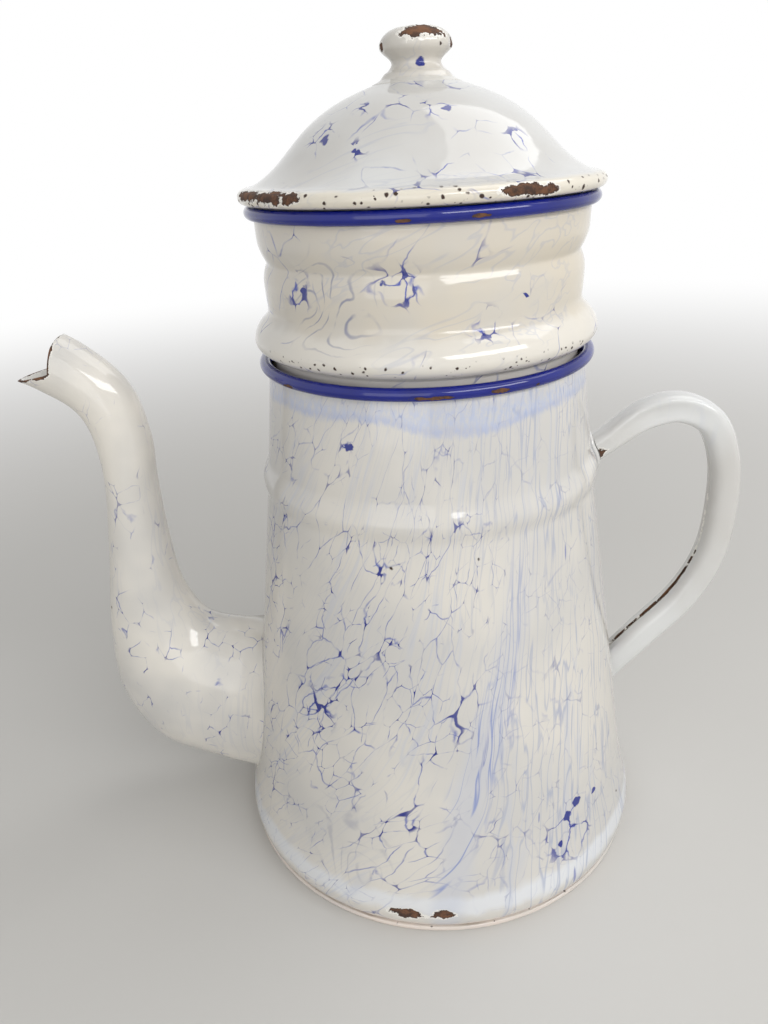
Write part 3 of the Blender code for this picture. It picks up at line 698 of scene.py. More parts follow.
def lid_marbling(paint, place):
    flowed = leaning(place, 70)
    paint = streaks(paint, flowed, STREAK_BLUE, fine=0.0034, long=10, thin=0.05, cover=0.54, amount=0.22)
    flowed = leaning(place, 50, (0.5, 0, 0.2))
    paint = net(paint, flowed, long=1.3, cell=0.009, width=0.00026, knot=0.5, cover=0.5, amount=0.9)
    paint = blots(paint, place, LID_BLOTS, cell=0.0075, width=0.0004)
    return drops(paint, place, LID_DROPS)


def knob_marbling(paint, place):
    flowed = leaning(place, 20)
    paint = streaks(paint, flowed, STREAK_BLUE, fine=0.003, long=6, thin=0.05, cover=0.5, amount=0.25)
    return drops(paint, place, KNOB_DROPS)


def plain_marbling(paint, place):
    flowed = leaning(place, 6)
    return streaks(paint, flowed, WASH_BLUE, fine=0.004, long=12, thin=0.06, cover=0.55, amount=0.22)


# Finishes


def new_finish(name):
    """New material, its tree, its shader and the place on the piece."""
    made = bpy.data.materials.new(name)
    made.use_nodes = True
    tree = made.node_tree
    return made, tree, tree.nodes["Principled BSDF"], put(tree, "TexCoord", output="Object")


def dress(shader, paint, rough, relief, strength, depth):
    """Gives a shader its colour, its roughness and its bump."""
    bump = put(paint.tree, "Bump", {"Strength": strength, "Distance": depth, "Height": relief})
    for label, given in (("Base Color", paint), ("Roughness", rough), ("Normal", bump)):
        paint.tree.links.new(given.socket, shader.inputs[label])


def washed(paint, place, height, outside, haze):
    """Paints the blue wash that has run from the rim down to a height."""
    grain = cloud(drawn_out(place, 2), 0.0011, 3, 0.6)
    level = cloud(place, 0.03, 1) * 7 + around(place, HAZE_DIP, 20) * 3 + grain * 2.4 + height
    band = fade(level, haze + 3.6, haze + 6.2) * outside
    thin = fade(grain, 0.3, 0.65, 0.15, 0.55) * fade(height, 160.5, 164.5, 1, 0.4)
    paint = tint(band * thin, paint, HAZE_BLUE)
    return tint(band * fade(level, haze + 8, haze + 5, 0, 0.25), paint, BUNDLE_BLUE)


def chipped(paint, place, height, undercoat, rust):
    """Paints chips, with iron in the middle and a pale undercoat at the edge, and specks of rust. Gives the
    paint, and 1 where the iron is bare."""
    broken = put(place.tree, "Attribute", output="Fac", attribute_name="bare")
    broken = cloud(place, 0.0026, 5, 0.7) * 1.7 + (broken - 0.85)
    paint = tint(fade(broken, -0.2, -0.14) * undercoat, paint, UNDERCOAT_AND_PAINTED_LIGHT)
    bare = fade(broken, 0, 0.06)
    for spacing, size, share, low, high in rust:
        dots = specks(shifted(place, 0.002, 0.0012), spacing, size, share)
        bare = largest(bare, dots * between(height, low, high, min(1.2, (high - low) / 3)))
    rusty = fade(cloud(place, 0.003, 5, 0.7), 0.35, 0.65) * fade(broken, 0, 0.35)
    return tint(bare, paint, tint(rusty, RUST_DARK, RUST)), bare


def enamel(name, ground, marbling, rim_z=None, haze=None, rust=(), stain=None, bands=()):
    """Vitreous enamel. marbling paints veins over the ground on the outer face. The rim is blue above rim_z,
    a blue wash has run down from it to haze, and coffee has stained the inner face between the two heights of
    stain. rust has rows of (spacing, size, share, low, high) for specks between two heights, and bands has
    rows of (low, high, soft, amount, colour)."""
    made, tree, shader, place = new_finish(name)
    height = parts(place)[2] * (1 / MM)
    outside = put(tree, "Attribute", output="Fac", attribute_name="outside")

    patch = cloud(place, 0.045, 3)
    paint = tint(fade(patch, 0.35, 0.7), ground, GREY_WHITE)
    # Bands of colour by height; some are painted light or shade, as noted where they are listed
    for low, high, soft, amount, colour in bands:
        level = cloud(place, 0.009, 3) * (1.6 * soft) + height - 0.8 * soft
        paint = tint(between(level, low, high, soft) * amount, paint, colour)
    paint = marbling(paint, place)

    inner = tint(fade(patch, 0.3, 0.75), INSIDE_WHITE, GREY_WHITE)
    if stain:
        wet = cloud(place, 0.02, 4) * 14 + height
        inner = tint(fade(wet, stain[1], stain[0], 0, 0.55), inner, COFFEE)
    paint = tint(outside, inner, paint)
    if haze:
        paint = washed(paint, place, height, outside, haze)

    # Blue enamel has no pale undercoat.
    undercoat = 0.8
    if rim_z:
        on_rim = fade(cloud(place, 0.006) * 0.6 + height, rim_z, rim_z + 0.3)
        paint = tint(on_rim, paint, tint(cloud(place, 0.012, 3), COBALT, COBALT_LIGHT))
        undercoat = on_rim * -0.8 + 0.8
    paint, bare = chipped(paint, place, height, undercoat, rust)

    gloss = cloud(place, 0.02, 3) * 0.07 + 0.045
    dimple = cloud(place, 0.006) * 0.5
    pit = cloud(place, 0.0009, 3, 0.6) * bare * 0.6
    dress(shader, paint, largest(gloss, bare * 0.85), pit + dimple - bare * 0.35, 0.1, 0.0012)
    shader.inputs["IOR"].default_value = 1.52
    return made


def bright_metal(name, colour, dull, mark_size):
    """Worn bare metal with fine turning marks, dull spots and a little rust."""
    made, _, shader, place = new_finish(name)
    x, y, z = parts(place)
    marks = cloud(joined((x * x + y * y).math("SQRT"), 0, z), mark_size, 3)
    cloudy = cloud(place, 0.009, 4)
    paint = tint(fade(cloudy, 0.35, 0.7), colour, dull)
    rust = specks(shifted(place, 0.002, 0.001), 0.004, 0.0012, 0.3) * 0.5
    dress(shader, tint(rust, paint, RUST), cloudy * 0.25 + 0.28, marks, 0.15, 0.0004)
    shader.inputs["Metallic"].default_value = 1
    return made


POT_ENAMEL = enamel(
    "pot_enamel", CREAM, pot_marbling, rim_z=POT_RIM_Z - RIM_ROLL + 0.2, haze=158.5, stain=(4, 30),
    rust=(
        (0.004, 0.0006, 0.16, 163, 171), (0.012, 0.0007, 0.14, 6, 170),
        (0.0018, 0.0005, 0.25, 1.6, 3.2),
    ),
    bands=(
        # The band from 1.6 to 3.3 mm is painted shade in the foot's crease, with some grime
        # The swell band is a painted sky reflection where the swell tilts upward
        (6.5, 16, 3.5, 0.65, SWELL_PAINTED_REFLECTION), (0.5, 5, 1, 0.7, FOOT_PINK), (1.6, 3.3, 0.5, 0.65, CREASE_SHADE_AND_GRIME),
    ),
)
BASE_ENAMEL = enamel(
    "base_enamel", FOOT_PINK, plain_marbling,
    # The band from 1.75 to 4 mm is painted shade in the crease over the flange, with some grime
    rust=((0.0018, 0.0005, 0.3, 1.4, 3.2),), bands=((1.75, 4, 0.3, 0.65, CREASE_SHADE_AND_GRIME),),
)
# The spout's ground is partly painted light: lighter than the pot's own cream
SPOUT_ENAMEL = enamel("spout_enamel", SPOUT_CREAM_AND_PAINTED_LIGHT, spout_marbling, rust=((0.016, 0.0008, 0.2, 0, 200),))
HANDLE_ENAMEL = enamel("handle_enamel", COOL_WHITE, plain_marbling, rust=((0.01, 0.0006, 0.2, 0, 200),))
CHAMBER_ENAMEL = enamel(
    "chamber_enamel", CHAMBER_CREAM, chamber_marbling, rim_z=FILTER_RIM_Z - RIM_ROLL + 0.1,
    rust=((0.01, 0.0006, 0.2, 168, 212), (0.0017, 0.0005, 0.85, 170.6, 175)),
    # This band is painted light: the bulge and the shaded collar strip under it painted paler
    stain=(146, 172), bands=((166, 181.5, 3, 0.5, UNDERCOAT_AND_PAINTED_LIGHT),),
)
LID_ENAMEL = enamel(
    "lid_enamel", COOL_WHITE, lid_marbling,
    rust=(
        (0.0015, 0.0006, 0.45, LID_RIM_Z - 3.2, LID_RIM_Z + 2.8),
        (0.0042, 0.001, 0.35, LID_RIM_Z - 3.2, LID_RIM_Z + 2.6), (0.016, 0.0006, 0.2, 200, 245),
    ),
    bands=((LID_RIM_Z - 6, LID_RIM_Z + 2.4, 0.8, 0.75, RIM_CREAM),),
)
KNOB_ENAMEL = enamel("knob_enamel", KNOB_CREAM, knob_marbling, rust=((0.003, 0.0006, 0.3, 243, 252),))
INNER_ENAMEL = enamel("inner_enamel", INSIDE_WHITE, plain_marbling, stain=(140, 150))
WIRE_STEEL = bright_metal("wire_steel", STEEL_GREY, RUST, 0.0006)
SPREADER_TIN = bright_metal("spreader_tin", TIN_GREY, STEEL_GREY, 0.0005)


# Pot

POT_ROWS = 190
POT_CHIPS = (
    ((-10.5, -69.2, 8.3), 5.2, 1.7, 0.3), ((0.5, -70, 8.5), 4, 1.5, 0.3),
    ((1, -49.4, 165.8), 7.5, 0.7, 0.5), ((18.5, -45.8, 166.2), 2.6, 0.7, 0.5),
    ((-37, -32.6, 165.8), 3, 0.6, 0.5), ((-48, -12, 165.4), 3, 0.8, 0.3),
)


def make_pot():
    shares = [(step / POT_ROWS) ** 1.15 for step in range(POT_ROWS + 1)]
    heights = [SHELL_LOW + (NECK_Z - SHELL_LOW) * share for share in shares]
    middle = [(pot_radius(z) - SHEET / 2, z, SHEET) for z in heights]
    middle += rim_roll(POT_ROLL_RADIUS, POT_RIM_Z, RIM_ROLL, 180, -120, 30)
    mesh = drilled(
        "pot_shell", sheet_outline(middle, POT_ROWS), 280, POT_ENAMEL, STRAINING, sharp=50, holes=13,
        Pitch=STRAINER_PITCH, Width=STRAINER_HOLE, Middle=STRAINER_MIDDLE_Z,
        Wall=-pot_radius(STRAINER_MIDDLE_Z),
    )
    mark_outside(mesh)
    chip(mesh, POT_CHIPS, 0.22)
    piece("pot_shell", mesh, "pot", "pot_body")


def make_base():
    skirt = FOOT_RADIUS - FOOT_CREASE - SHEET - GAP
    outline = [(0, 0), (20, 0), (45, 0)]
    outline += arc((FOOT_RADIUS + FOOT_PROUD - 1, 1), 1, -90, 60, 10)
    outline += [(skirt + 0.4, FOOT_HEIGHT), (skirt, FOOT_HEIGHT + 0.4), (skirt, 6.2)]
    outline += arc((skirt - SHEET / 2, 6), SHEET / 2, 0, 180, 6)
    outline += arc((skirt - SHEET - 2, SHEET + 2), 2, 0, -90, 8)[1:]
    outline += [(45, SHEET), (20, SHEET), (0, SHEET)]
    mesh = turned("base_pan", outline, 160, BASE_ENAMEL)
    mark_outside(mesh)
    piece("base_pan", mesh, "pot", "pot_base")


def make_wire(name, body, node, radius, z, roll):
    """Wire inside a rolled rim."""
    outline = arc((radius, z), roll - ROLL_SHEET - GAP, 0, 337.5, 15)
    piece(name, turned(name, outline, 160, WIRE_STEEL), body, node)


# Filter chamber

CHAMBER_CHIPS = (((14, -47.2, 207.8), 2.6, 0.6, 0.5), ((-4, -49, 207.6), 2, 0.5, 0.5))


def corners(node):
    """Lowest and highest corner of a solid in millimetres."""
    return [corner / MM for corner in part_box(node)]


def make_chamber():
    half = SHEET / 2
    lip = [(COLLAR_RADIUS - LIP_WIDTH, LIP_Z + half)]
    lip += arc((COLLAR_RADIUS - half - 1.5, LIP_Z + half + 1.5), 1.5, -90, 0, 6)
    collar = [
        (COLLAR_RADIUS, LIP_Z + 5), (COLLAR_RADIUS, LIP_Z + 9), (GRIP_RADIUS - 0.2, GRIP_Z - 2.4),
        (GRIP_RADIUS, GRIP_Z), (GRIP_RADIUS - 0.3, GRIP_Z + 2.4), (CREASE_RADIUS - 0.2, GRIP_Z + 5),
        (CREASE_RADIUS, CREASE_Z - 0.4),
    ]
    side = []
    for share, proud in ((0.06, 0.26), (0.24, 0.58), (0.55, 0.85), (1, 1)):
        out = CREASE_RADIUS + proud * (BULGE_RADIUS - CREASE_RADIUS)
        side.append((out, CREASE_Z + share * (BULGE_Z - CREASE_Z)))
    for share, proud in ((0.33, 0.9), (0.63, 0.6), (0.87, 0.22)):
        out = WALL_RADIUS + proud * (BULGE_RADIUS - WALL_RADIUS)
        side.append((out, BULGE_Z + share * (BULGE_TOP_Z - BULGE_Z)))
    side += [
        (WALL_RADIUS + 0.05, BULGE_TOP_Z + 0.9), (WALL_RADIUS + 0.15, 186),
        (WALL_RADIUS + 0.25, GROOVE_Z - 4.2), (WALL_RADIUS - 0.3, GROOVE_Z - 1.8), (GROOVE_RADIUS, GROOVE_Z),
        (UPPER_RADIUS - 1.2, GROOVE_Z + 2.4), (UPPER_RADIUS - 0.35, GROOVE_Z + 5),
        (UPPER_RADIUS, FILTER_RIM_Z - RIM_ROLL - 0.8),
    ]
    collar, side = ([(r - half, z) for r, z in face] for face in (collar, side))
    middle = [(r, z, SHEET) for r, z in lip + flow(collar, 0.8) + flow(side, 0.6)]
    middle += rim_roll(FILTER_ROLL_RADIUS, FILTER_RIM_Z, RIM_ROLL, 180, -120, 30)
    mesh = turned("chamber_shell", sheet_outline(middle), 240, CHAMBER_ENAMEL)
    mark_outside(mesh)
    chip(mesh, CHAMBER_CHIPS, 0.15)
    piece("chamber_shell", mesh, "filter", "filter_chamber")


def make_floor_plate():
    low, high = corners("filter_plate")
    soft = 0.4
    outline = [(0, low.z)] + arc((high.x - soft, low.z + soft), soft, -90, 0, 4)
    outline += arc((high.x - soft, high.z - soft), soft, 0, 90, 4) + [(0, high.z)]
    holes = {"holes": 36, "Pitch": 11, "Width": 2.5, "Middle": (low.z + high.z) / 2}
    mesh = drilled("floor_plate", outline, 128, INNER_ENAMEL, DRILLING, sharp=40, **holes)
    piece("floor_plate", mesh, "filter", "filter_plate")


# Spreader

SPREADER_BORE = 2.5
STEM_RADIUS = 2.2
STEM_HEAD = 4.2
SPREADER_GRIP = ((4.6, 0.3), (4.1, 2), (4.4, 4.2), (5.4, 7), (5.5, 8.6), (4.5, 10.6))


def make_spreader_dish():
    low, high = corners("spreader_disc")
    radius = high.x
    top = low.z + 1
    outline = [(SPREADER_BORE, low.z)] + arc((radius - 0.8, low.z + 0.8), 0.8, -90, 0, 6)
    outline += arc((radius - 0.5, high.z - 0.5), 0.5, 0, 180, 8)
    outline += arc((radius - 1.6, top + 0.6), 0.6, 0, -90, 4) + [(SPREADER_BORE, top)]
    holes = {"holes": 18, "Pitch": 14.5, "Width": 3.1, "Middle": low.z + 0.5}
    mesh = drilled("spreader_dish", outline, 128, SPREADER_TIN, DRILLING, sharp=40, **holes)
    piece("spreader_dish", mesh, "spreader", "spreader_disc")


def make_spreader_rod():
    low, high = (corner.z for corner in corners("spreader_stem"))
    head_top = corners("spreader_disc")[0].z - 0.3
    outline = [(0, low)] + arc((STEM_HEAD - 0.6, low + 0.5), 0.5, -90, 30, 5)
    outline += [(STEM_HEAD, head_top - 0.1), (STEM_HEAD - 0.2, head_top), (STEM_RADIUS, head_top)]
    outline += [(STEM_RADIUS, high), (0, high)]
    piece("spreader_rod", turned("spreader_rod", outline, 48, SPREADER_TIN), "spreader", "spreader_stem")


def make_spreader_grip():
    foot, crown = (corner.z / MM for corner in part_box("spreader_knob"))
    bore_top = corners("spreader_stem")[1].z + GAP
    side = [(r, foot + up) for r, up in SPREADER_GRIP] + [(2.6, crown - 0.3), (0, crown)]
    outline = [(SPREADER_BORE, foot), (4.4, foot)] + flow(side, 0.3)
    outline += [(0, bore_top), (SPREADER_BORE, bore_top)]
    piece("spreader_grip", turned("spreader_grip", outline, 64, SPREADER_TIN), "spreader", "spreader_knob")


# Lid

LID_BORE = 2.3
LID_COLLAR_SHEET = 0.9
KNOB_HEIGHT = 11.6
KNOB_FOOT = CROWN_Z + GAP

# The dome's face as shares of its radius and of its height above the roll
DOME = (
    (0, 1), (0.155, 0.995), (0.25, 0.93), (0.41, 0.815), (0.53, 0.69),
    (0.63, 0.545), (0.72, 0.375), (0.8, 0.22), (0.88, 0.1), (0.945, 0.03),
)
KNOB_GRIP = (
    (6.55, 2.8), (6.75, 3.5), (7.5, 4.3), (8.6, 5.2), (9.35, 6), (9.6, 6.9),
    (9.4, 7.9), (8.6, 9.2), (7, 10.4), (4.8, 11.15), (2.4, 11.5), (0, KNOB_HEIGHT),
)
LID_CHIPS = (
    ((-44, -24, 214), 8, 1.9, 0.3), ((-36.5, -34, 213.4), 6, 2, 0.4),
    ((-30.5, -39.6, 213.2), 2.6, 1.6, 0.5), ((23.5, -44.6, 213), 6.8, 1.5, 0.25),
    ((29, -41.2, 212), 3.4, 1.5, 0.3), ((30, 40.5, 213.2), 5, 1.4, 0.35),
    ((50, 4, 213), 3, 1.2, 0.4),
)
KNOB_CHIPS = (
    ((1.5, -7, KNOB_FOOT + 9.7), 6, 2.7, 0.35),
    ((0, -1, KNOB_FOOT + 11.6), 5.5, 4.5, 0.35),
    ((9.3, -2, KNOB_FOOT + 7.2), 1.6, 1.5, 0.5),
    ((-9, -3, KNOB_FOOT + 6.6), 1.2, 1.2, 0.5),
)


def lid_roll():
    return rim_roll(LID_ROLL_RADIUS, LID_RIM_Z, LID_ROLL, 80, -160, 32)


def dome_line():
    """Middle line of the dome's sheet, from the crown to the first point of the rim roll."""
    low = LID_RIM_Z + LID_ROLL
    line = [(out * LID_ROLL_RADIUS, low + up * (CROWN_Z - low) - SHEET / 2) for out, up in DOME]
    return flow(line + [lid_roll()[0][:2]], 0.7)


def dome_top(radius):
    """Height of the dome's outer face near the crown."""
    line = dome_line()
    for (near, high), (far, low) in zip(line, line[1:]):
        if near <= radius <= far:
            return high + (low - high) * (radius - near) / (far - near) + SHEET / 2
    return CROWN_Z


def make_dome():
    middle = [(LID_BORE, CROWN_Z - SHEET / 2, SHEET)]
    middle += [(r, z, SHEET) for r, z in dome_line()[:-1] if r > LID_BORE] + lid_roll()
    mesh = turned("lid_shell", sheet_outline(middle), 300, LID_ENAMEL)
    mark_outside(mesh, LID_RIM_Z - 6)
    chip(mesh, LID_CHIPS, 0.25)
    piece("lid_shell", mesh, "lid", "lid_dome")


def make_lid_ring():
    low, high = corners("lid_collar")
    radius = high.x - LID_COLLAR_SHEET / 2
    line = [(radius, low.z), (radius, low.z + 4)]
    line += arc((radius - 1.2, high.z - 1.95), 1.2, 0, 85, 8) + [(radius - 3.5, high.z - 0.5)]
    middle = [(r, z, LID_COLLAR_SHEET) for r, z in line]
    mesh = turned("lid_ring", sheet_outline(middle), 200, INNER_ENAMEL)
    mark_outside(mesh)
    piece("lid_ring", mesh, "lid", "lid_collar")


def make_knob():
    foot = KNOB_FOOT
    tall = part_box("lid_knob")[1].z / MM - foot
    rest = [(r, dome_top(r) + 0.04) for r in (7, 8, 9, 10, 11, 12)]
    skirt = [(12, rest[-1][1] + 0.03), (11, rest[-2][1] + 0.12), (9.8, rest[-3][1] + 0.35)]
    skirt += [(8.6, foot + 0.55), (7.6, foot + 1.2), (6.9, foot + 2)]
    line = skirt + [(r, foot + up * tall / KNOB_HEIGHT) for r, up in KNOB_GRIP]
    outline = [(LID_BORE, foot)] + rest + flow(line, 0.3)
    outline += [(0, foot + 7), (LID_BORE, foot + 7)]
    mesh = turned("knob_shell", outline, 128, KNOB_ENAMEL)
    mark_outside(mesh, foot + 6)
    chip(mesh, KNOB_CHIPS, 0.2)
    piece("knob_shell", mesh, "lid", "lid_knob")


def make_rivet():
    low, high = corners("lid_knob_rivet")
    outline = [(0, low.z)] + flow([(1.4, low.z), (3.2, low.z + 0.4), (high.x, low.z + 1.2)], 0.3)
    outline += [(high.x, low.z + 1.4), (2, low.z + 1.4), (2, high.z), (0, high.z)]
    piece("knob_rivet", turned("knob_rivet", outline, 48, WIRE_STEEL), "lid", "lid_knob_rivet")


# Spout

# Each section is its outer point, its inner point and its half width
SPOUT_SECTIONS = (
    (-77, 13.6, -68, 71.2, 20), (-103, 24.6, -80.4, 75.4, 17.2),
    (-114.6, 45, -87, 88, 13.8), (-114.6, 72, -89, 107, 11.4),
    (-109.4, 104, -89.4, 127, 9.8), (-106.2, 132, -89.1, 144, 8.8),
    (-109.4, 149.8, -93.2, 160.2, 8.5), (-120.8, 159, -105.4, 172.6, 8.5),
    (-133.4, 165, -118.4, 179.8, 8.8),
)
SPOUT_ROOT_LOW = 12.0
SPOUT_ROOT_HIGH = 70.5
SPOUT_ROOT_HALF = 20.5
SPOUT_NOTCH = (-114, 165.2)
SPOUT_LIP = (-111.9, 174.5)
SPOUT_TIP = (-127.6, 162.2)
SPOUT_ROUND = 72
SPOUT_ALONG = 150
SPOUT_FILLET = 2.2
ON_POT = 0.02


def in_mouth(point):
    """True where the spout is cut away: outside the lip line and above the beak line, or past the tip."""
    lean = (SPOUT_LIP[0] - SPOUT_NOTCH[0]) / (SPOUT_LIP[1] - SPOUT_NOTCH[1])
    slope = (SPOUT_TIP[1] - SPOUT_NOTCH[1]) / (SPOUT_TIP[0] - SPOUT_NOTCH[0])
    x, _, z = point
    if x < SPOUT_TIP[0]:
        return True
    rounded = 0.08 * max(0, z - SPOUT_LIP[1] + 2.5) ** 2
    past_lip = x < SPOUT_NOTCH[0] + lean * (z - SPOUT_NOTCH[1]) + rounded
    over_beak = z > SPOUT_NOTCH[1] + slope * (x - SPOUT_NOTCH[0])
    return past_lip and over_beak


def spout_point(section, angle, shrink):
    """Point of a section at an angle from its outer point, shrunk by the sheet for the inner face."""
    outer_x, outer_z, inner_x, inner_z, half = section
    middle = Vector(((outer_x + inner_x) / 2, 0, (outer_z + inner_z) / 2))
    reach = Vector(((outer_x - inner_x) / 2, 0, (outer_z - inner_z) / 2))
    reach *= (reach.length - shrink) / reach.length
    return middle + reach * math.cos(angle) + Vector((0, (half - shrink) * math.sin(angle), 0))


def root_point(angle, grow, lift):
    """Point of the root's outline on the pot, grown along the pot's face and lifted off it."""
    middle = (SPOUT_ROOT_LOW + SPOUT_ROOT_HIGH) / 2
    z = middle - (middle - SPOUT_ROOT_LOW + grow) * math.cos(angle)
    y = (SPOUT_ROOT_HALF + grow) * math.sin(angle)
    out = pot_radius(z) + lift
    return Vector((-math.sqrt(out * out - y * y), y, z))


def halved(low, high, turns, past):
    """Number just before the first that is past something, found by halving."""
    for _ in range(turns):
        middle = (low + high) / 2
        low, high = (low, middle) if past(middle) else (middle, high)
    return low


def spout_column(sections, angle, shrink):
    """Points along one line of the spout, from just above the root to the cut edge of the mouth."""
    line = [spout_point(section, angle, shrink) for section in sections]
    cut = next(index for index, point in enumerate(line) if index and in_mouth(point))
    before, after = line[cut - 1:cut + 1]
    share = halved(0, 1, 24, lambda share: in_mouth(before.lerp(after, share)))
    return line[:cut] + [before.lerp(after, share)]


def evenly(line, count):
    """The same line with a set number of points at even shares of its length."""
    lengths = [0]
    for before, after in zip(line, line[1:]):
        lengths.append(lengths[-1] + (after - before).length)
    made = []
    spot = 0
    for step in range(count + 1):
        goal = lengths[-1] * step / count
        while spot < len(line) - 2 and lengths[spot + 1] < goal:
            spot += 1
        span = lengths[spot + 1] - lengths[spot]
        made.append(line[spot].lerp(line[spot + 1], min(1, (goal - lengths[spot]) / max(span, 1e-9))))
    return made


def wander_at(places, scale):
    """Noise at each of several places."""
    return np.array([noise.noise(Vector(place) * scale) for place in places])


def make_spout():
    sections = flow(SPOUT_SECTIONS, 2.2)
    columns = []
    for step in range(SPOUT_ROUND):
        angle = 2 * math.pi * step / SPOUT_ROUND
        outer = [root_point(angle, SPOUT_FILLET, ON_POT), root_point(angle, 0.7, 0.35)]
        outer += evenly(spout_column(sections, angle, 0), SPOUT_ALONG)
        inner = [root_point(angle, -SHEET, ON_POT)]
        inner += evenly(spout_column(sections, angle, SHEET), SPOUT_ALONG)
        edge = (outer[-1] + inner[-1]) / 2 + (outer[-1] - outer[-2]).normalized() * 0.28
        columns.append(outer + [edge] + inner[::-1])
    body = bmesh.new()
    bridge(body, zip(*columns), closed=True)
    mesh = new_mesh("spout_shell", body, SPOUT_ENAMEL)
    place, _ = spots_of(mesh)
    row = np.arange(len(place)) // SPOUT_ROUND
    keep_field(mesh, "outside", row <= SPOUT_ALONG + 2)
    worn = 1.0 - np.abs(row - SPOUT_ALONG - 2.5) / 1.6
    out = -place[:, 0]
    beak = np.clip((out - 113.0) / 3.0, 0.0, 1.0)
    bare = worn * 0.8 + wander_at(place, 0.4) * 0.6 - 0.45 + 0.3 * beak
    keep_field(mesh, "bare", np.where(out > 108.0, bare, -1.0))
    solids = [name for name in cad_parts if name.startswith("spout")]
    piece("spout_shell", mesh, "pot", "spout", *solids)


# Handle

HANDLE_LINE = (
    (57, 136.3), (67.5, 143.5), (77.6, 145.5), (87.4, 140.8), (92.8, 129),
    (94.2, 112), (92.2, 94), (85, 78.6), (72, 63.2),
)
HANDLE_WIDTH = 10.6
HANDLE_DEPTH = 9.0
HANDLE_SLIT = 1.4
HANDLE_SQUARE = 0.68
HANDLE_ROUND = 40
HANDLE_CHIPS = (((54.5, -4.5, 133), 2.8, 2.2, 0.5), ((83, -2.5, 133.6), 2, 1.2, 0.5))
LUG_THICK = 1.2
LUG_LOW = 125.0
LUG_HIGH = 139.5
LUG_WIDTH = 15.0
LUG_GRID = 24


def fold_section(scale, pinch):
    """Outline of the folded sheet as (outwards, across), pinched in at its sides and slit on the inside."""
    start = math.asin((HANDLE_SLIT / HANDLE_WIDTH) ** (1 / HANDLE_SQUARE))
    outer, inner = [], []
    for loop, shrink in ((outer, 0), (inner, SHEET)):
        for step in range(HANDLE_ROUND + 1):
            angle = start + (2 * math.pi - 2 * start) * step / HANDLE_ROUND
            cosine, sine = math.cos(angle), math.sin(angle)
            side = 1 - pinch * math.exp(-((cosine / 0.5) ** 2))
            out = -math.copysign(abs(cosine) ** HANDLE_SQUARE, cosine)
            across = math.copysign(abs(sine) ** HANDLE_SQUARE, sine)
            depth = HANDLE_DEPTH / 2 * scale - shrink
            loop.append((depth * out, (HANDLE_WIDTH / 2 - shrink) * across * side))
    lip_last = ((outer[-1][0] + inner[-1][0]) / 2, (outer[-1][1] + inner[-1][1]) / 2 + 0.3)
    lip_first = ((outer[0][0] + inner[0][0]) / 2, (outer[0][1] + inner[0][1]) / 2 - 0.3)
    return outer + [lip_last] + inner[::-1] + [lip_first]


def land(point, along, gap):
    """Moves a point along a direction until it stands the gap off the pot's outer face."""
    def inside(reach):
        here = point + along * reach
        return math.hypot(here.x, here.y) <= pot_radius(here.z) + gap
    return point + along * halved(-25, 25, 40, inside)


def make_handle():
    line = flow(HANDLE_LINE, 1.2)
    last = len(line) - 1
    rings = []
    for index, (x, z) in enumerate(line):
        before = line[max(index - 1, 0)]
        after = line[min(index + 1, last)]
        along = Vector((after[0] - before[0], 0, after[1] - before[1])).normalized()
        outward = Vector((-along.z, 0, along.x))
        share = index / last
        scale = 0.8 + 0.2 * min(share / 0.14, 1)
        pinch = 0.38 * max(0, 1 - abs(share - 0.13) / 0.17) ** 0.7
        ring = [Vector((x, width, z)) + outward * depth for depth, width in fold_section(scale, pinch)]
        if index == 0:
            rings.append([land(point, -along, LUG_THICK + 0.2) for point in ring])
        rings.append(ring)
        if index == last:
            rings.append([land(point, along, -0.05) for point in ring])
    body = bmesh.new()
    made = bridge(body, rings, closed=False)
    half = HANDLE_ROUND + 1
    for ring in (made[0], made[-1]):
        for step in range(HANDLE_ROUND):
            body.faces.new([ring[step], ring[step + 1], ring[2 * half - 1 - step], ring[2 * half - step]])
        body.faces.new(ring[half - 1:half + 2])
        body.faces.new([ring[0], *ring[2 * half:]])
    size = len(made[0])
    mesh = new_mesh("handle_fold", body, HANDLE_ENAMEL)
    mesh.set_sharp_from_angle(angle=math.radians(50))
    column = np.arange(len(mesh.vertices)) % size
    keep_field(mesh, "outside", column <= half)
    bare = chip(mesh, HANDLE_CHIPS, 0.1)

    # Rust creeps along the lips of the slit on the lower half.
    place, _ = spots_of(mesh)
    lips = (column == 0) | (column >= size - 1) | (abs(column - HANDLE_ROUND - 0.5) < 1)
    low_half = np.clip((118.0 - place[:, 2]) / 30.0, 0.0, 1.0)
    rusty = 0.55 * low_half - 0.35 + 0.6 * wander_at(place, 0.12)
    keep_field(mesh, "bare", np.where(lips, np.maximum(bare, rusty), bare))
    piece("handle_fold", mesh, "pot", "handle")


